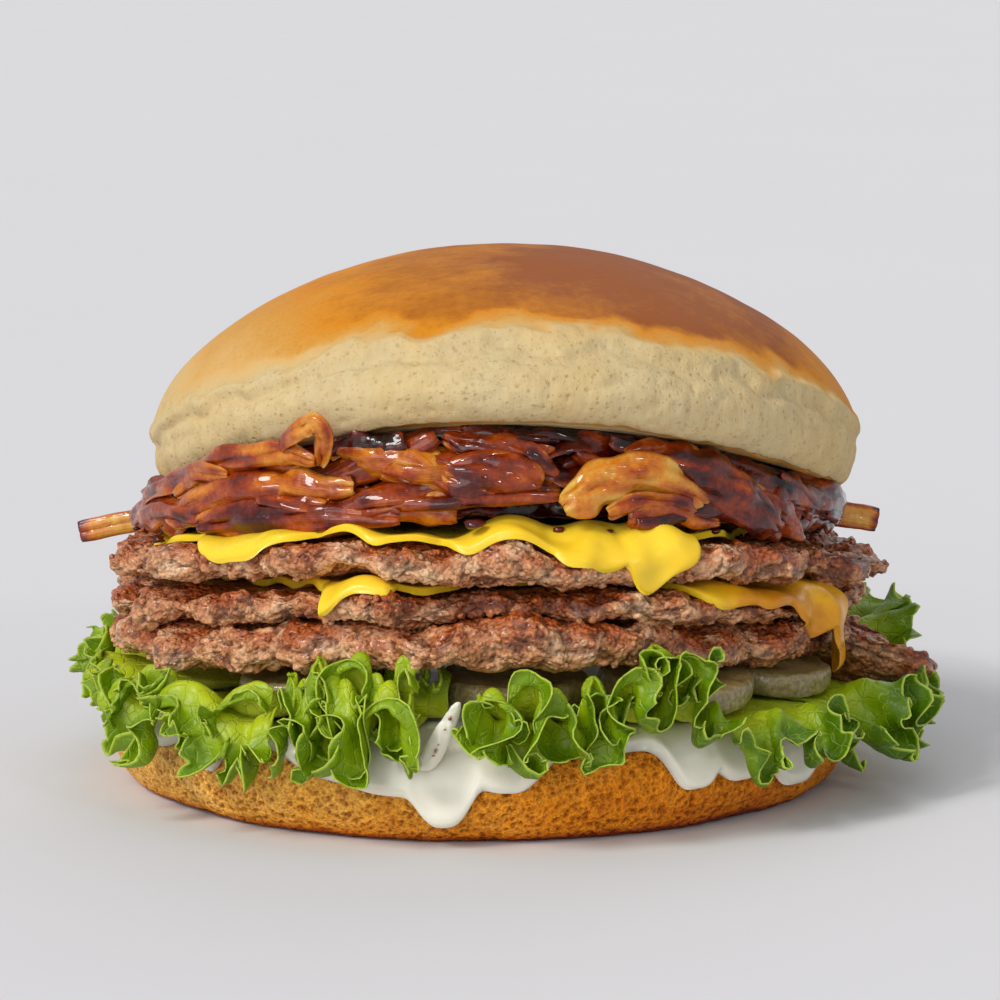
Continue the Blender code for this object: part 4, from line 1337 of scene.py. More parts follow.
@dataclass
class Cheese:
    """Square slice melted over a patty, its corners and tongues hanging over the edge."""

    node: str
    patty: Patty
    turn: float
    corner: float
    melts: tuple[tuple[float, float, float], ...]
    side: float = 86.0
    thick: float = 0.9
    hump: float = 0.0
    deep: float = 0.0
    tab: tuple[float, float, float, float] = (0.0, 1.0, 0.0, 0.0)
    columns: int = 560

    def reach(self, angle: Array) -> Array:
        """Length of the slice by bearing: a rounded square, or the longest of the tongues.

        Args:
            angle: Bearings in degrees.

        Returns:
            Lengths from the axis.
        """
        off = np.radians((angle - self.turn + 45.0) % 90.0 - 45.0)
        square = np.minimum(self.side / 2.0 / np.cos(math.pi / 4.0 - np.abs(off)), self.corner)
        least = self.side / 2.0
        for where, reach, half in self.melts:
            square = np.maximum(square, least + (reach - least) * np.sqrt(bump(angle, where, half, 4.0)))
        begin, end, reach, fall = self.tab
        share = away(angle, begin) / (end - begin)
        square = np.maximum(square, np.where((share >= 0.0) & (share <= 1.0), reach - fall * share, 0.0))
        return square + 0.5 * ripple(angle, 5, (13, 21, 34), 0.7)

    def build(self, finish: Material) -> None:
        """The draped sheet, sunk a little between the lumps of the meat.

        Args:
            finish: Material of the piece.
        """
        angle = bearings(self.columns)
        rim = self.patty.rim(angle)
        rows = 42
        v = np.linspace(0.0, 1.0, rows)[None, :]
        lift = self.hump * bump(angle, 16.0, 15.0, 4.0)[:, None] * np.exp(-((v - 0.55) / 0.26) ** 2)
        sheet = sheet_form(rim, angle, self.reach(angle), self.thick, rows, 0.15, 0.15 + lift)
        far = np.linalg.norm(sheet.points[:, :2], axis=1)
        sunk = 0.5 * layers(sheet.points, 5.0, 2, 3) * ease((far - 44.0) / 8.0)
        share = (sunk / np.maximum(far, 1.0))[:, None]
        sheet.points = sheet.points + sheet.points * share * np.array([1.0, 1.0, 0.4])
        # Painted shade with some deeper melt: the slice darkens towards the right, away from the key light.
        sheet.marks["melt"] = sheet.marks["melt"] + self.deep * ease((sheet.points[:, 0] - 26.0) / 16.0)
        sheet.outward().make(self.node + "_melt", finish, "cheese", (self.node,))


# Lettuce and pickles

# Waves of a leaf's broad, tight and fine frills to the radian of bearing
BROAD_FRILL, TIGHT_FRILL, FINE_FRILL = 33.0, 84.0, 200.0


@dataclass
class Leaf:
    """One ruffled leaf from under the patties out over the edge of the bun."""

    node: str
    begin: float
    end: float
    bed: float
    out: float
    middle: float
    tip: float
    waves: float
    rise: float
    curl: float
    lift: float = 0.0
    folds: int = 0
    tuck: tuple[float, float] | None = None
    thick: float = 0.45
    rows: int = 52

    def bed_rows(self, angle: Array, low: Array, high: Array, swing: Array) -> list[Array]:
        """Inner control rows, which lie on the sauce and rise between the bun and the meat.

        Args:
            angle: Bearings.
            low: Height of the leaf where it lies on the sauce.
            high: Height under the lower patty.
            swing: Wave between the two.

        Returns:
            Three rows of points.
        """
        if self.bed < 57.0:
            loose = 0.2 * (high - low) + 0.25 * swing if self.bed < 50.0 else 0.0 * low
            half_way = max(53.0, 0.5 * (self.bed + 61.0))
            stations = [(26.0, SAUCE_TOP.at(26.0, angle) + LEAF_ROOM), (self.bed, low + loose),
                        (half_way, 0.5 * (low + high) + swing)]
        else:
            rest = (INNER_RING, 47.0, self.bed)
            stations = [(r, SAUCE_TOP.at(r, angle) + LEAF_ROOM + 0.1) for r in rest]
        return [place(r, angle, z) for r, z in stations]

    def frilled(self, grid: Array, angle: Array, seed: int) -> Array:
        """Adds frills to a sheet: sines of the bearing that grow towards the edge, folded sideways.

        Args:
            grid: Points of the sheet.
            angle: Bearings of its columns.
            seed: Seed of the wandering of the frills.

        Returns:
            The frilled points.
        """
        v = np.linspace(0.0, 1.0, grid.shape[1])[None, :]
        grow = ease((v - 0.3) / 0.7)
        late = ease((v - 0.66) / 0.34)
        none = 0.0 * angle
        wander = 2.2 * noise(np.stack([angle / 9.0, none, none], axis=-1), seed)[:, None]
        size = 0.85 + 0.75 * noise(np.stack([angle / 5.0, none + 5.0, none], axis=-1), seed)[:, None]
        turn = np.radians(angle)[:, None]
        broad = BROAD_FRILL * turn + wander * 2.4 + (2.6 if seed % 2 else -2.6) * v
        tight = TIGHT_FRILL * turn + wander * 5.0 + (seed % 5 - 2.0) * 1.6 * v
        fine = FINE_FRILL * turn + wander * 9.0 + 3.0 * v
        out = normals(grid, False)
        frill = 1.5 * grow * np.sin(broad) + 1.5 * size * late * np.sin(tight)
        frill = frill + 0.35 * late ** 2 * np.sin(fine)
        grid = grid + out * frill[..., None]
        side = unit(np.gradient(grid, axis=0))
        fold = 1.3 * grow ** 2 * np.sin(2.0 * broad) + 0.9 * size * late * np.sin(2.0 * tight)
        grid = grid + side * fold[..., None]
        ahead = unit(np.gradient(grid, axis=1))
        jag = angle + 0.35 * wander[:, 0]
        saw = 1.5 * np.abs(2.0 * (jag * 0.78 % 1.0) - 1.0) ** 1.6
        saw = saw + 1.5 * np.abs(2.0 * (jag * 0.35 % 1.0) - 1.0) ** 2.5
        grid = grid + ahead * (ease((v - 0.84) / 0.16) * (saw[:, None] - 1.5))[..., None]
        return grid + out * (0.32 * layers(grid, 2.4, 2, seed) * ease(v * 2.0))[..., None]

    def sheet(self, fold: int) -> Form:
        """One sheet: spline rows over the bed, then the frills.

        Args:
            fold: 0 for the leaf itself; higher numbers are folds behind it, higher and further in.

        Returns:
            The closed sheet.
        """
        span = self.end - self.begin
        dense = 6.6 if self.begin < 100.0 else 5.0
        columns = int(dense * abs(span))
        u = np.linspace(0.02 * fold, 1.0 - 0.02 * fold, columns)
        angle = self.begin + span * u
        phase = 2.0 * math.pi * self.waves * u + math.radians(self.begin) * 3.0
        turned = phase + 2.3 * fold
        held = bump(angle, 88.0, 13.0)
        trim = np.sin(math.pi * np.clip(u, 0.02, 0.98)) ** 0.35
        low = SAUCE_TOP.at(50.0, angle) + LEAF_ROOM
        high = PATTY_LOW_BASE.at(52.0, angle, True) - LEAF_ROOM - 2.0 * GAP
        free = 1.0 - 0.6 * held
        swing = 0.42 * (high - low) * np.sin(phase)
        up, back = 2.4 * fold, 1.7 * fold
        stand = self.lift * ease((u - 0.5) / 0.14) * (1.0 - 0.7 * ease((u - 0.84) / 0.12))
        ridge = self.middle + up + 0.6 * stand - 2.5 * held + self.rise * free * np.sin(turned)
        over = max(61.0, self.bed + 3.4) + 0.5 * np.cos(2.0 * turned) - back
        rows = self.bed_rows(angle, low, high, swing)
        rows.append(place(over, angle, np.maximum(ridge, SAUCE_TOP.at(58.0, angle) - 1.0)))
        lip = over + (self.out - over - back) * (0.5 + 0.5 * trim) + 0.9 * np.cos(2.0 * turned)
        sway = -self.curl * span / (2.0 * math.pi * self.waves) * np.sin(2.0 * turned) * trim
        edge = self.tip + up + stand - 1.5 * held + self.rise * free * np.sin(turned)
        flip = 1.0 + 0.6 * np.sin(1.7 * turned + self.begin)
        rows.append(place(lip - 0.9, angle + sway, edge + 0.3))
        rows.append(place(lip + 1.5 + 0.5 * flip, angle + sway, edge + 1.7 * flip))
        seed = int(abs(self.begin)) + 5 + 31 * fold
        grid = self.frilled(spline(rows, self.rows), angle, seed)
        v = np.linspace(0.0, 1.0, self.rows)[None, :]
        half = 0.5 * self.thick * (1.0 - 0.6 * v ** 4)[..., None]
        out = normals(grid, False)
        # Painted shade: leaves on the right side, away from the key light, are coloured darker green through
        # the mark rim.
        shade = 0.4 * bump(angle, 66.0, 36.0)[:, None]
        marks = {"rim": np.broadcast_to(ease((v - 0.35) / 0.6), grid.shape[:2]) + shade,
                 "lip": np.broadcast_to(ease((v - 0.95) / 0.05), grid.shape[:2])}
        return Form.slab(grid + out * half, grid - out * half, marks).outward()

    def standing(self, begin: float, end: float) -> Form:
        """Part of the leaf that stands between the sauce and the meat, in the shade behind the frills.

        Args:
            begin: First bearing.
            end: Last bearing.

        Returns:
            The closed sheet, four rows joined by a spline.
        """
        angle = np.linspace(begin, end, int(6.0 * (end - begin)))
        wave = np.sin(np.radians(angle) * 30.0)
        low = SAUCE_TOP.at(52.0, angle) + LEAF_ROOM
        high = PATTY_LOW_BASE.at(54.0, angle, True) - 1.2
        stations = ((48.6, 0.0), (49.6 + 0.5 * wave, 0.25), (49.8 - 0.7 * wave, 0.7),
                    (50.4 + 0.9 * wave, 0.98))
        rows = [place(r + 0.0 * angle, angle, low + (high - low) * share) for r, share in stations]
        grid = self.frilled(spline(rows, 30), angle, int(end) + 60)
        v = np.linspace(0.0, 1.0, 30)[None, :]
        out = normals(grid, False) * 0.5 * self.thick
        marks = {"rim": np.broadcast_to(ease(v), grid.shape[:2]),
                 "lip": np.broadcast_to(ease((v - 0.95) / 0.05), grid.shape[:2])}
        return Form.slab(grid + out, grid - out, marks).outward()

    def build(self, finish: Material) -> None:
        """The leaf with its folds as one piece.

        Args:
            finish: Material of the piece.
        """
        sheets = [self.sheet(fold) for fold in range(self.folds + 1)]
        if self.tuck:
            sheets.append(self.standing(*self.tuck))
        Form.joined(sheets).make(self.node + "_frill", finish, "leaf", (self.node,))


@dataclass
class Pickle:
    """Thick slice of pickled cucumber, tilted outwards on the lettuce."""

    node: str
    bearing: float
    radius: float
    size: float
    height: float
    tilt: float
    thick: float = 3.8
    columns: int = 180

    def build(self, finish: Material) -> None:
        """Disc whose section is a flat box with rounded corners, the rim scalloped a little.

        Args:
            finish: Material of the piece.
        """
        around = np.linspace(0.0, 2.0 * math.pi, self.columns, endpoint=False)[:, None]
        half = self.thick / 2.0
        t = np.linspace(-QUARTER, QUARTER, 22)[None, :]
        corner = 1.0
        share = np.linspace(0.25, 1.0, 14)[None, :-1]
        flat = (self.size - corner) * share
        ring = self.size - corner + corner * np.cos(t)
        level = np.sign(np.sin(t)) * np.abs(np.sin(t)) ** 0.7 * half
        faces = [(flat, np.full_like(flat, -half)), (ring, level), (flat[:, ::-1], np.full_like(flat, half))]
        r, z = profile(around, faces)
        r = r * (1.0 + 0.025 * np.sin(5.0 * around + self.bearing) + 0.008 * np.sin(17.0 * around))
        z = z + 0.0 * around
        local = np.stack([r * np.cos(around), r * np.sin(around), z], axis=-1)
        local = local + normals(local, True) * 0.12 * layers(local, 2.0, 2, 9)[..., None]
        lean, turn = math.radians(self.tilt), math.radians(self.bearing)
        centre = float(SAUCE_TOP.at(self.radius, np.array(self.bearing))) + self.height + half
        poles = np.array([(0.0, 0.0, -half), (0.0, 0.0, half)])
        both = [self.seated(p, lean, turn, centre) for p in (local, poles)]
        skin = np.broadcast_to(ease((r - self.size * 0.88) / (self.size * 0.1)), r.shape)
        form = Form.shell(both[0], both[1][0], both[1][1], {"skin": skin})
        form.outward().make(self.node + "_slice", finish, "pickle", (self.node,))

    def seated(self, points: Array, lean: float, turn: float, centre: float) -> Array:
        """Points of the flat slice tilted outwards, turned to its bearing and lifted.

        Args:
            points: Points of the flat slice.
            lean: Tilt in radians.
            turn: Bearing in radians.
            centre: Height of the slice's middle.

        Returns:
            The seated points.
        """
        outward = points[..., 1] * math.cos(lean) + points[..., 2] * math.sin(lean)
        upward = -points[..., 1] * math.sin(lean) + points[..., 2] * math.cos(lean)
        along = points[..., 0]
        x = (self.radius + outward) * math.sin(turn) + along * math.cos(turn)
        y = -(self.radius + outward) * math.cos(turn) + along * math.sin(turn)
        return np.stack([x, y, upward + centre], axis=-1)


# Fried onions

# Strips and petals that the front view shows, each a path, width, roll, tone, cup, thickness and ends.
# These hang over the upper bun's rim, each point a bearing and a height over the rim
RIM_STRIPS = (
    (((-84, -3.6), (-74, -1.6), (-64, -0.4), (-54, -0.4), (-46, -2.4)), 4.2, 20.0, 0.42),
    (((-60, -3.0), (-52, -0.6), (-44, 0.4), (-36, 0.0), (-29, -2.6)), 4.4, -18.0, 0.5),
)
# These stand free, each point three lengths
FREE_STRIPS = (
    (((-28.4, -44.0, 54.8), (-26.2, -48.8, 58.0), (-23.2, -51.8, 60.8), (-21.4, -51.6, 57.8),
      (-22.2, -48.0, 53.6)), 3.2, 20.0, 0.58, 0.3),
    (((-42.0, 8.0, 39.6), (-49.0, 8.6, 38.2), (-55.0, 9.3, 37.0), (-62.6, 10.0, 35.2)),
     3.6, 10.0, 0.84, 0.1, 1.1, True),
    (((46.0, 3.0, 39.6), (52.0, 4.5, 39.2), (57.0, 6.0, 38.6), (61.8, 6.8, 37.6)),
     4.0, 12.0, 0.84, 0.1, 1.1, True),
)
# These lie on the heap, each point a bearing, a share of the height and a swell outwards
# Their tones are lower on the right side of the heap: painted shade.
HEAP_STRIPS = (
    (((-24, 0.95, 0.0), (-17, 0.8, 0.8), (-10, 0.7, 0.8), (-4, 0.35, 0.6)), 6.0, 10.0, 0.6, 0.7),
    (((-12, 0.62, -1.0), (-4, 0.55, 1.2), (3, 0.5, 1.6), (10, 0.4, 1.0)), 7.4, 8.0, 0.34, 0.5),
    (((-6, 0.95, -0.6), (2, 0.8, 0.6), (8, 0.7, 0.4), (13, 0.5, -0.4)), 4.0, 0.0, 0.28, 0.6),
    (((13, 0.16, 1.4), (18, 0.42, 2.6), (25, 0.6, 3.0), (33, 0.5, 2.8), (38, 0.2, 2.0)),
     7.0, 12.0, 0.66, 0.6),
    (((20, 0.1, 2.2), (26, 0.26, 2.8), (33, 0.2, 2.8), (40, 0.02, 2.0)), 4.0, -16.0, 0.36, 0.5),
    (((29, 0.74, 2.0), (37, 0.7, 3.6), (45, 0.5, 3.8), (52, 0.0, 3.0)), 9.0, 14.0, 0.24, 0.7),
    (((24, 0.82, 1.2), (30, 0.98, 2.0), (37, 0.96, 2.0), (43, 0.76, 1.6)), 3.6, 30.0, 0.46, 0.7),
    (((44, 0.95, 0.4), (54, 0.8, 2.4), (64, 0.6, 3.6), (76, 0.3, 3.8)), 6.0, 14.0, 0.2, 0.6),
    (((58, 0.5, 2.6), (70, 0.5, 4.4), (82, 0.4, 4.8), (94, 0.1, 3.6)), 6.4, -12.0, 0.14, 0.6),
    (((62, 1.0, 1.6), (74, 0.9, 3.6), (86, 0.8, 4.2), (98, 0.6, 3.0)), 5.4, 10.0, 0.26, 0.6),
    (((45, 0.55, 1.0), (51, 0.4, 2.6), (57, 0.1, 2.8), (61, -0.2, 2.2)), 4.4, -10.0, 0.3, 0.6),
    (((-58, 0.15, 1.0), (-46, 0.5, 1.6), (-34, 0.55, 1.4), (-24, 0.25, 1.0)), 6.4, -12.0, 0.4, 0.6),
    (((-50, 0.0, 1.4), (-38, 0.12, 2.0), (-24, 0.14, 1.8), (-12, 0.04, 1.2)), 4.6, 8.0, 0.3, 0.6),
    (((-80, 0.0, 1.2), (-70, 0.3, 2.2), (-60, 0.4, 2.2), (-50, 0.1, 1.4)), 4.6, -14.0, 0.38, 0.6),
    (((-25, 0.82, -0.6), (-19, 0.98, -0.2), (-12, 0.93, -0.2), (-9, 0.8, -0.4), (-15, 0.68, -0.2),
      (-23, 0.74, -0.6)), 1.5, 10.0, 0.5, 0.2),
    (((-44, 0.8, -0.4), (-36, 0.62, 1.0), (-30, 0.42, 1.2), (-20, 0.4, 0.8)), 5.2, 22.0, 0.55, 0.7),
)


@dataclass(frozen=True)
class Strip:
    """One strip or petal: control points of its path, width, roll in degrees, tone, cup and thickness."""

    path: tuple[Point, ...]
    width: float
    roll: float
    tone: float
    cup: float = 0.35
    thick: float = 0.34
    blunt: bool = False
    count: int = 60
    across: int = 19

    def form(self, seed: int) -> Form:
        """Band carried along a smooth path, curved across like a slice of a bulb and buckled.

        Args:
            seed: Seed of the wandering, the ragged edges and the buckles.

        Returns:
            The closed band with the marks tone and fibre.
        """
        line = spline([np.array([p]) for p in self.path], self.count)[0]
        calm = 0.3 if self.blunt else 1.0
        shifts = [noise(line / 4.5 + k * 9.0, seed + k) for k in range(3)]
        line = line + 0.35 * calm * np.stack(shifts, axis=-1)
        along = unit(np.gradient(line, axis=0))
        outward = unit(np.tile([0.0, -1.0, 0.0], (self.count, 1)) if self.blunt else line * LEVEL_PART)
        across = unit(np.cross(along, outward))
        out = np.cross(across, along)
        share = np.linspace(0.0, 1.0, self.count)
        lean = np.radians(self.roll) * np.sin(math.pi * share + 0.6)
        lean = lean + 0.35 * calm * np.sin(5.0 * share + seed)
        face = across * np.cos(lean)[:, None] + out * np.sin(lean)[:, None]
        back = np.cross(along, face)
        back = back * np.sign((back * outward).sum(axis=1, keepdims=True) + 1e-9)
        least = 0.85 if self.blunt else 0.08
        taper = (least + (1.0 - least) * np.sin(math.pi * np.clip(share, 0.005, 0.995)) ** 0.3)[:, None]
        ragged = noise(np.stack([share * 7.0, share * 0.0, share * 0.0], axis=-1), seed + 5)[:, None]
        w = np.linspace(-1.0, 1.0, self.across)[None, :]
        reach = 0.5 * self.width * taper * w * (1.0 + 0.2 * calm * ragged * np.sign(w))
        arch = self.cup * 0.5 * self.width * taper * (0.5 - w ** 2)
        grid = line[:, None] + face[:, None] * reach[..., None] + back[:, None] * arch[..., None]
        normal = normals(grid, False)
        spots = (share[:, None] * len(self.path) * 1.6, w * self.width * 0.42, seed * 1.7)
        flow = np.stack(np.broadcast_arrays(*spots), axis=-1)
        ridges = 0.09 * np.cos(w * self.width * 2.4 + 2.0 * noise(flow * 0.5, seed + 3))
        buckle = calm * (0.6 * noise(flow, seed + 8) + 0.14 * noise(flow * 2.6, seed + 9)) + ridges
        grid = grid + normal * (buckle * min(1.0, self.width / 3.4))[..., None]
        half = 0.5 * self.thick * (1.0 - 0.6 * w ** 6)[..., None]
        normal = normals(grid, False)
        edge = ease((np.abs(w) - 0.55) / 0.45)
        tone = self.tone + 0.24 * noise(flow * 1.1, seed + 12) + (-0.35 if self.blunt else 0.12) * edge
        ends = ease((0.1 - np.minimum(share, 1.0 - share))[:, None] / 0.1)
        tone = tone + (-0.5 if self.blunt else 0.12) * ends
        fibre = np.broadcast_to(w, grid.shape[:2]) * self.width / 6.0
        marks = {"tone": np.clip(tone, 0.0, 1.0), "fibre": fibre}
        return Form.slab(grid + normal * half, grid - normal * half, marks).outward()


@dataclass
class Onions:
    """Heap of glazed onion between the upper patty and the upper bun."""

    bun: UpperBun
    radius: float = 49.5
    loose: int = 150

    def spot(self, angle: float, share: float, swell: float) -> Point:
        """Point on the front of the heap: bearing, share of the height there, and swell outwards.

        Args:
            angle: Bearing in degrees.
            share: Share of the heap's height.
            swell: Swell outwards.

        Returns:
            The point.
        """
        turn = np.array(float(angle))
        low = float(ONION_BASE.at(51.0, turn)) + GAP + 0.5
        high = float(self.bun.under(np.array(50.5), turn)) - 2.0 * GAP - 0.4
        radius = self.radius + 2.4 - 2.4 * share + swell
        x, y, z = place(np.array(radius), turn, np.array(low + max(high - low, 0.0) * share))
        return float(x), float(y), float(z)

    def over(self, angle: float, rise: float) -> Point:
        """Point just outside the rim of the upper bun, at a height over it.

        Args:
            angle: Bearing in degrees.
            rise: Height over the rim.

        Returns:
            The point.
        """
        turn = np.array(float(angle))
        height = CROWN_BASE.edge(turn) + rise
        x, y, z = place(np.array(self.bun.radius + 1.6), turn, height, self.bun.shift)
        return float(x), float(y), float(z)

    def named(self) -> list[Strip]:
        """Strips and petals that the front view shows one by one."""
        made = [Strip(tuple(self.over(*p) for p in path), *rest) for path, *rest in RIM_STRIPS]
        made += [Strip(*strip) for strip in FREE_STRIPS]
        made += [Strip(tuple(self.spot(*p) for p in path), *rest) for path, *rest in HEAP_STRIPS]
        return made

    def scattered(self) -> list[Strip]:
        """Seeded strips all round, laid along the heap with their ends at chance heights."""
        rng = random.Random(29)
        made = []
        for k in range(self.loose):
            centre = -180.0 + 360.0 * (k + rng.random()) / self.loose
            half = rng.uniform(6.0, 17.0)
            bare = float(bump(np.array(centre), 16.0, 14.0, 4.0))
            right = float(bump(np.array(centre), 86.0, 40.0))
            depth = rng.uniform(-2.4, 1.4) - 2.5 * bare + 3.2 * right
            start, stop = (min(max(rng.gauss(0.5 + 0.3 * bare, 0.34), 0.5 * bare), 1.0) for _ in range(2))
            hook = rng.uniform(-0.6, 0.6)
            points = []
            for t in (0.0, 0.3, 0.65, 1.0):
                level = start + (stop - start) * t + hook * math.sin(math.pi * t) + rng.uniform(-0.08, 0.08)
                level = min(max(level, 0.03 + 0.45 * bare), 0.97)
                bearing = centre - half + 2.0 * half * t
                points.append(self.spot(bearing, level, depth + rng.uniform(-0.6, 0.6)))
            width = rng.uniform(2.0, 5.6)
            # Painted shade: strips are darker the higher they lie under the bun, and darker on the right
            # side.
            tone = rng.gauss(0.36, 0.13) - 0.24 * (0.5 * (start + stop)) ** 2 - 0.12 * right
            tone = min(max(tone, 0.04), 0.7)
            made.append(Strip(tuple(points), width, rng.uniform(-70.0, 70.0), tone, rng.uniform(0.3, 0.9),
                              rng.uniform(0.25, 0.4), False, 26, 9))
        return made

    def build(self, finish: Material) -> None:
        """The inner mass, and over it every strip as a body of its own.

        Args:
            finish: Material of the piece.
        """
        angle = bearings(360)
        right = bump(angle, 86.0, 44.0)
        radius = self.radius - 0.7 + ripple(angle, 31, (3, 5, 8), 0.8) - 3.4 * bump(angle, 16.0, 16.0, 4.0)
        radius = (radius + 3.4 * right)[:, None]
        lean = 1.8 * (1.0 - 0.9 * right)[:, None]
        low = ONION_BASE.at(radius, angle[:, None]) + GAP
        high = self.bun.under(radius - lean, angle[:, None]) - GAP
        t = np.linspace(0.0, 1.0, 24)[None, :]
        face = (radius - lean * t ** 2, low + (high - low) * t)
        share = np.linspace(0.3, 1.0, 5)[None, :-1]
        below = (radius * share, ONION_BASE.at(radius * share, angle[:, None]) + GAP)
        inner = (radius - lean) * share[:, ::-1]
        above = (inner, self.bun.under(inner, angle[:, None]) - GAP)
        radii, heights = profile(angle, [below, face, above])
        grid = place(radii, angle[:, None], heights)
        push = 1.5 * layers(grid * np.array([0.5, 0.5, 1.0]), 2.6, 2, 41) - 0.6
        push[:, :4] = 0.0
        push[:, -4:] = 0.0
        push[:, -10:-4] *= np.linspace(1.0, 0.0, 6)
        grid = grid + outwards(grid) * push[..., None]
        # Very dark tone: the dark glaze between the strips, darkened further as painted shade in those gaps.
        tone = np.clip(0.1 + 0.16 * layers(grid, 4.0, 2, 43), 0.0, 1.0)
        marks = {"tone": tone, "fibre": grid[..., 2] * 0.2}
        poles = ((0.0, 0.0, ONION_BASE.middle + GAP), (0.0, 0.0, CROWN_BASE.middle - GAP - 0.6))
        core = Form.shell(grid, poles[0], poles[1], marks)
        core.outward().make("onion_core", finish, "onion", ("onions",))
        for name, strips in (("onion_petals", self.named()), ("onion_shreds", self.scattered())):
            forms = [strip.form(k) for k, strip in enumerate(strips)]
            Form.joined(forms).make(name, finish, "onion", ("onions",))


# Small things


@dataclass
class Specks:
    """Char specks on the sauce and beads of the onions' glaze on what lies below them."""

    seed: int = 12
    specks: int = 9
    beads: int = 34

    def build(self, char: Material, glaze: Material) -> None:
        """Balls strewn along the smear of sauce, and flat beads along the foot of the onions.

        Args:
            char: Material of the specks.
            glaze: Material of the beads.
        """
        rng = np.random.default_rng(self.seed)
        angle = rng.uniform(-6.2, -3.4, self.specks)
        spots = place(60.7, angle, 16.6 + 2.4 * (angle + 4.8))
        sizes = rng.uniform(0.12, 0.3, self.specks)
        specks = lumps(spots, sizes, 0.7, 3, {"sear": 0.0 * sizes + 0.9, "pit": 0.0 * sizes + 0.5})
        Form.joined(specks).make("char_specks", char, "meat", ())
        angle = np.append(rng.uniform(-180.0, 180.0, self.beads), (-0.6, 26.0, 40.0))
        radius = np.append(rng.uniform(49.5, 53.5, self.beads), (54.2, 53.0, 53.0))
        sizes = np.append(rng.uniform(0.4, 1.1, self.beads), (1.3, 0.9, 1.0))
        beads = place(radius, angle, PATTY_TOP_TOP.at(radius, angle, True) + 1.5)
        marks = {"tone": 0.12 + 0.0 * sizes, "fibre": 0.0 * sizes}
        Form.joined(lumps(beads, sizes, 0.5, 5, marks)).make("glaze_beads", glaze, "onion", ())


# The studio


# Lights: name, direction they come from, width in degrees, strength and tint
LIGHTS = (
    ("key", (-0.68, -0.52, 0.8), 18.0, 1.6, (1.0, 0.985, 0.96)),
    ("front", (-0.42, -1.0, 0.22), 40.0, 0.82, (1.0, 0.99, 0.98)),
    ("back", (0.3, 0.9, 0.8), 40.0, 0.35, (0.98, 0.99, 1.0)),
    ("glint_left", (-0.5, -0.8, 0.75), 3.0, 0.2, (1.0, 1.0, 1.0)),
    ("glint_right", (0.55, -0.8, 0.5), 5.0, 0.2, (1.0, 1.0, 1.0)),
)


@dataclass
class Studio:
    """Wide flat pale floor, far soft lights and the camera of the photograph."""

    distance: float = 620.0
    elevation: float = 8.0
    target: Point = (3.1, 0.0, 41.7)
    lens: float = 145.08
    spread: float = 14000.0
    sides: int = 96
    sunk: float = -0.02

    def floor(self, finish: Material) -> None:
        """Flat disc, wide enough to fill the view to its top.

        Args:
            finish: Material of the floor.
        """
        angle = bearings(self.sides)
        ring = place(np.full_like(angle, self.spread), angle, np.full_like(angle, self.sunk))
        points = np.concatenate([ring, [(0.0, 0.0, self.sunk)]])
        c = np.arange(self.sides)
        tris = np.stack([np.full(self.sides, self.sides), c, (c + 1) % self.sides], axis=-1)
        mesh = bpy.data.meshes.new("floor")
        mesh.from_pydata((points * MM).tolist(), [], tris.tolist())
        mesh.materials.append(finish)
        made = bpy.data.objects.new("floor", mesh)
        bpy.context.scene.collection.objects.link(made)

    def light(self, name: str, spot: Point, spread: float, power: float, tint: Colour) -> None:
        """Far soft light that shines from a direction on everything alike.

        Args:
            name: Name of the light.
            spot: Direction that it comes from.
            spread: Width of its disc in degrees.
            power: Strength.
            tint: Linear colour.
        """
        data = bpy.data.lights.new(name, "SUN")
        data.energy = power
        data.angle = math.radians(spread)
        data.color = tint
        made = bpy.data.objects.new(name, data)
        x, y, z = spot
        made.rotation_euler = (math.atan2(math.hypot(x, y), z), 0.0, math.atan2(x, -y))
        bpy.context.scene.collection.objects.link(made)

    def camera(self) -> None:
        """Camera on a line from the target, tipped down by the elevation."""
        data = bpy.data.cameras.new("camera")
        data.sensor_width = 36.0
        data.lens = self.lens
        data.clip_start = 0.01
        data.clip_end = 40.0
        made = bpy.data.objects.new("camera", data)
        tip = math.radians(self.elevation)
        x, y, z = self.target
        back, up = self.distance * math.cos(tip), self.distance * math.sin(tip)
        made.location = (x * MM, (y - back) * MM, (z + up) * MM)
        made.rotation_euler = (QUARTER - tip, 0.0, 0.0)
        bpy.context.scene.collection.objects.link(made)
        bpy.context.scene.camera = made

    def build(self, finish: Material) -> None:
        """Floor, world, lights and camera.

        Args:
            finish: Material of the piece.
        """
        self.floor(finish)
        world = bpy.data.worlds.new("studio")
        world.use_nodes = True
        sky = world.node_tree.nodes["Background"].inputs
        sky[0].default_value = linear(236, 238, 244)
        sky[1].default_value = 0.54
        bpy.context.scene.world = world
        bpy.context.scene.view_settings.view_transform = "Standard"
        for light in LIGHTS:
            self.light(*light)
        self.camera()


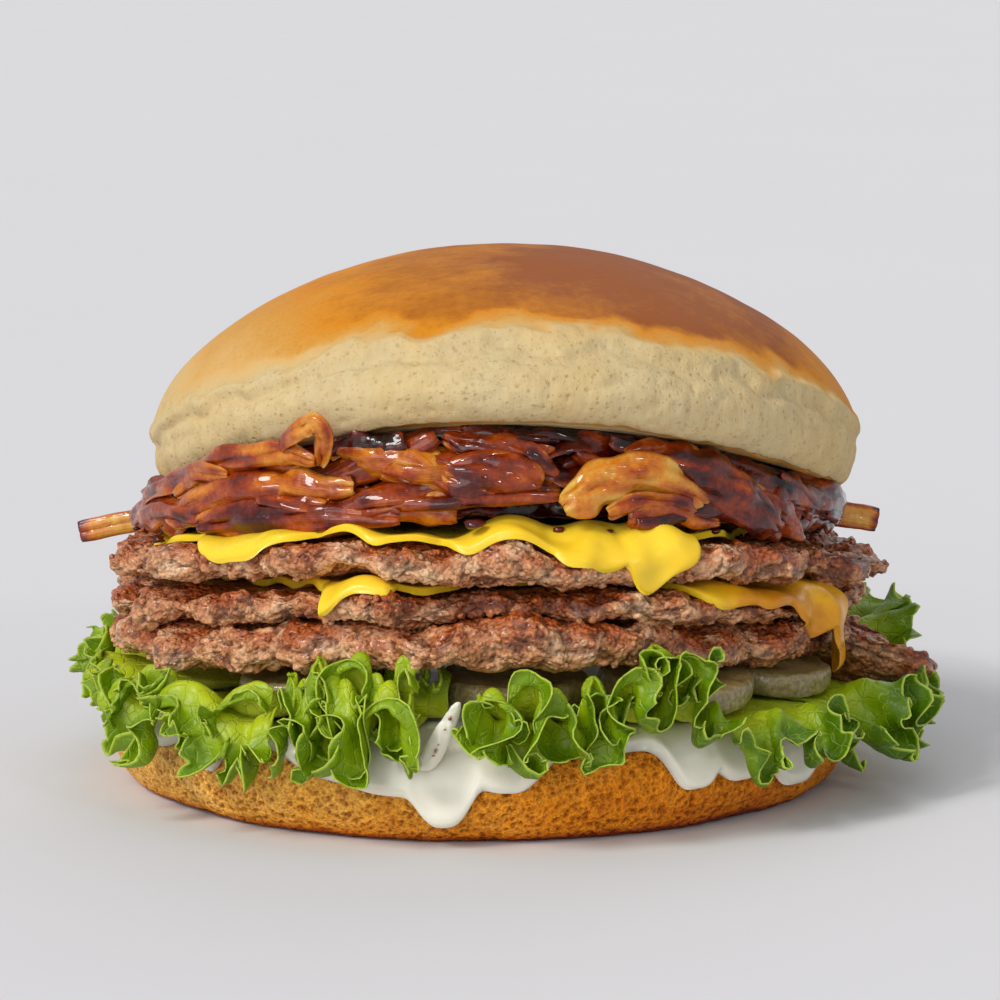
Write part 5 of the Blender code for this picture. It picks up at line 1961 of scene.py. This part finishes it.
def main() -> None:
    """Builds the burger from the bottom up, then the studio."""
    logging.basicConfig(level=logging.INFO, format="%(message)s")
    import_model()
    red = (1.0, 0.45, 0.2)
    crust = CrustFinish("crust", scatter=0.06, scatter_reach=red, specular=0.1).build()
    crumb = CrumbFinish("crumb", scatter=0.05, scatter_reach=red, specular=0.2).build()
    meat = MeatFinish("meat", coat=0.4, coat_roughness=0.14, specular=0.35).build()
    cheese = CheeseFinish("cheese", scatter=0.4, scatter_reach=(1.0, 0.7, 0.2), specular=0.4).build()
    onion = OnionFinish("onion", coat=0.7, coat_roughness=0.03, specular=0.1, through=0.3).build()
    leaf = LeafFinish("leaf", scatter=0.3, scatter_reach=(0.8, 1.0, 0.2), specular=0.35).build()
    pickle = PickleFinish("pickle", scatter=0.2, scatter_reach=(0.8, 1.0, 0.4), coat=0.4).build()
    sauce = SauceFinish("sauce", scatter=0.5, scatter_reach=(1.0, 0.9, 0.8), coat=0.3, coat_roughness=0.12)
    white = sauce.build()
    lower = LowerBun()
    lower.build(crumb)
    Sauce().build(lower, white)
    for spec in (
        ("lettuce_left", -101.0, -62.0, 43.0, 58.4, 16.0, 14.2, 3.0, 3.2, 0.7, 0.0),
        ("lettuce_front_left", -59.0, -29.0, 54.2, 63.5, 18.6, 12.8, 1.5, 3.2, 0.4, 0.0, 1),
        ("lettuce_front", -27.5, -8.6, 54.2, 64.0, 20.4, 13.8, 3.0, 4.6, 0.9, 0.0, 2, (-18.0, -5.0)),
        ("lettuce_front_right", -0.4, 34.0, 57.8, 63.5, 20.6, 15.4, 4.0, 4.4, 0.9, 5.5, 1),
        ("lettuce_right", 36.0, 60.0, 58.2, 64.5, 13.8, 10.8, 2.5, 3.4, 0.8, 0.0),
        ("lettuce_right_side", 62.5, 98.0, 57.0, 68.4, 14.0, 11.5, 3.5, 4.2, 0.8, 0.0),
        ("lettuce_back_right", 101.0, 146.0, 43.0, 71.5, 15.6, 18.0, 3.6, 3.2, 0.8, 0.0),
        ("lettuce_back", 149.0, 205.0, 43.0, 66.0, 16.4, 13.5, 3.8, 3.8, 0.8, 0.0),
        ("lettuce_back_left", 208.0, 256.5, 43.0, 65.0, 16.5, 14.0, 3.4, 3.8, 0.8, 0.0),
    ):
        Leaf(*spec).build(leaf)
    for spec in (
        ("pickle_right", 38.0, 46.6, 11.4, 2.5, 6.2),
        ("pickle_far_right", 65.0, 46.8, 10.0, 2.25, 7.0),
        ("pickle_front", 7.0, 40.0, 10.8, 2.3, 3.0),
        ("pickle_left", -34.0, 42.0, 11.4, 2.4, 4.0),
    ):
        Pickle(*spec).build(pickle)
    low_lobes = ((62.0, -3.0, 12.0, 0.0), (88.0, 13.6, 6.5, 6.0), (-50.0, 1.2, 4.0, 1.6),
                 (37.0, 0.8, 3.5, 1.4))
    top_lobes = ((83.0, 4.4, 9.0, 1.6), (-3.0, 0.6, 7.0, 0.9), (14.0, 1.0, 11.0, 1.3))
    first = Patty("patty_lower", PATTY_LOW_BASE, PATTY_LOW_TOP, 41, low_lobes)
    mid_lobes = ((62.0, 1.4, 11.0, 0.0), (-1.0, -1.8, 13.0, 0.0), (6.0, -2.6, 11.0, 0.0))
    # The first patch darkens the right side, more sear with painted shade; the second, at the front, is
    # painted shade in the recess between the patties.
    mid_chars = ((72.0, 44.0, 0.42), (1.0, 15.0, 0.6))
    second = Patty("patty_middle", PATTY_LOW_TOP, PATTY_MID_TOP, 47, mid_lobes, mid_chars)
    third = Patty("patty_upper", PATTY_TOP_BASE, PATTY_TOP_TOP, 53, top_lobes)
    for patty in (first, second, third):
        patty.build(meat)
    melts = ((41.0, 56.6, 9.0), (50.0, 57.6, 8.0), (57.0, 60.0, 6.0), (62.5, 62.6, 5.0), (67.0, 65.0, 4.5),
             (71.0, 67.0, 3.6))
    Cheese("cheese_lower", second, -17.0, 54.4, melts, deep=1.3, tab=(-23.6, -12.5, 58.5, 1.4)).build(cheese)
    melts = ((-37.0, 57.0, 14.0), (-16.0, 55.0, 12.0), (5.0, 55.8, 12.0), (17.0, 56.8, 9.0),
             (28.0, 60.0, 7.0))
    Cheese("cheese_upper", third, 33.0, 53.0, melts, hump=2.4).build(cheese)
    upper = UpperBun()
    Onions(upper).build(onion)
    Specks().build(meat, onion)
    upper.build(crust)
    Studio().build(FloorFinish("floor").build())


if __name__ == "__main__":
    main()
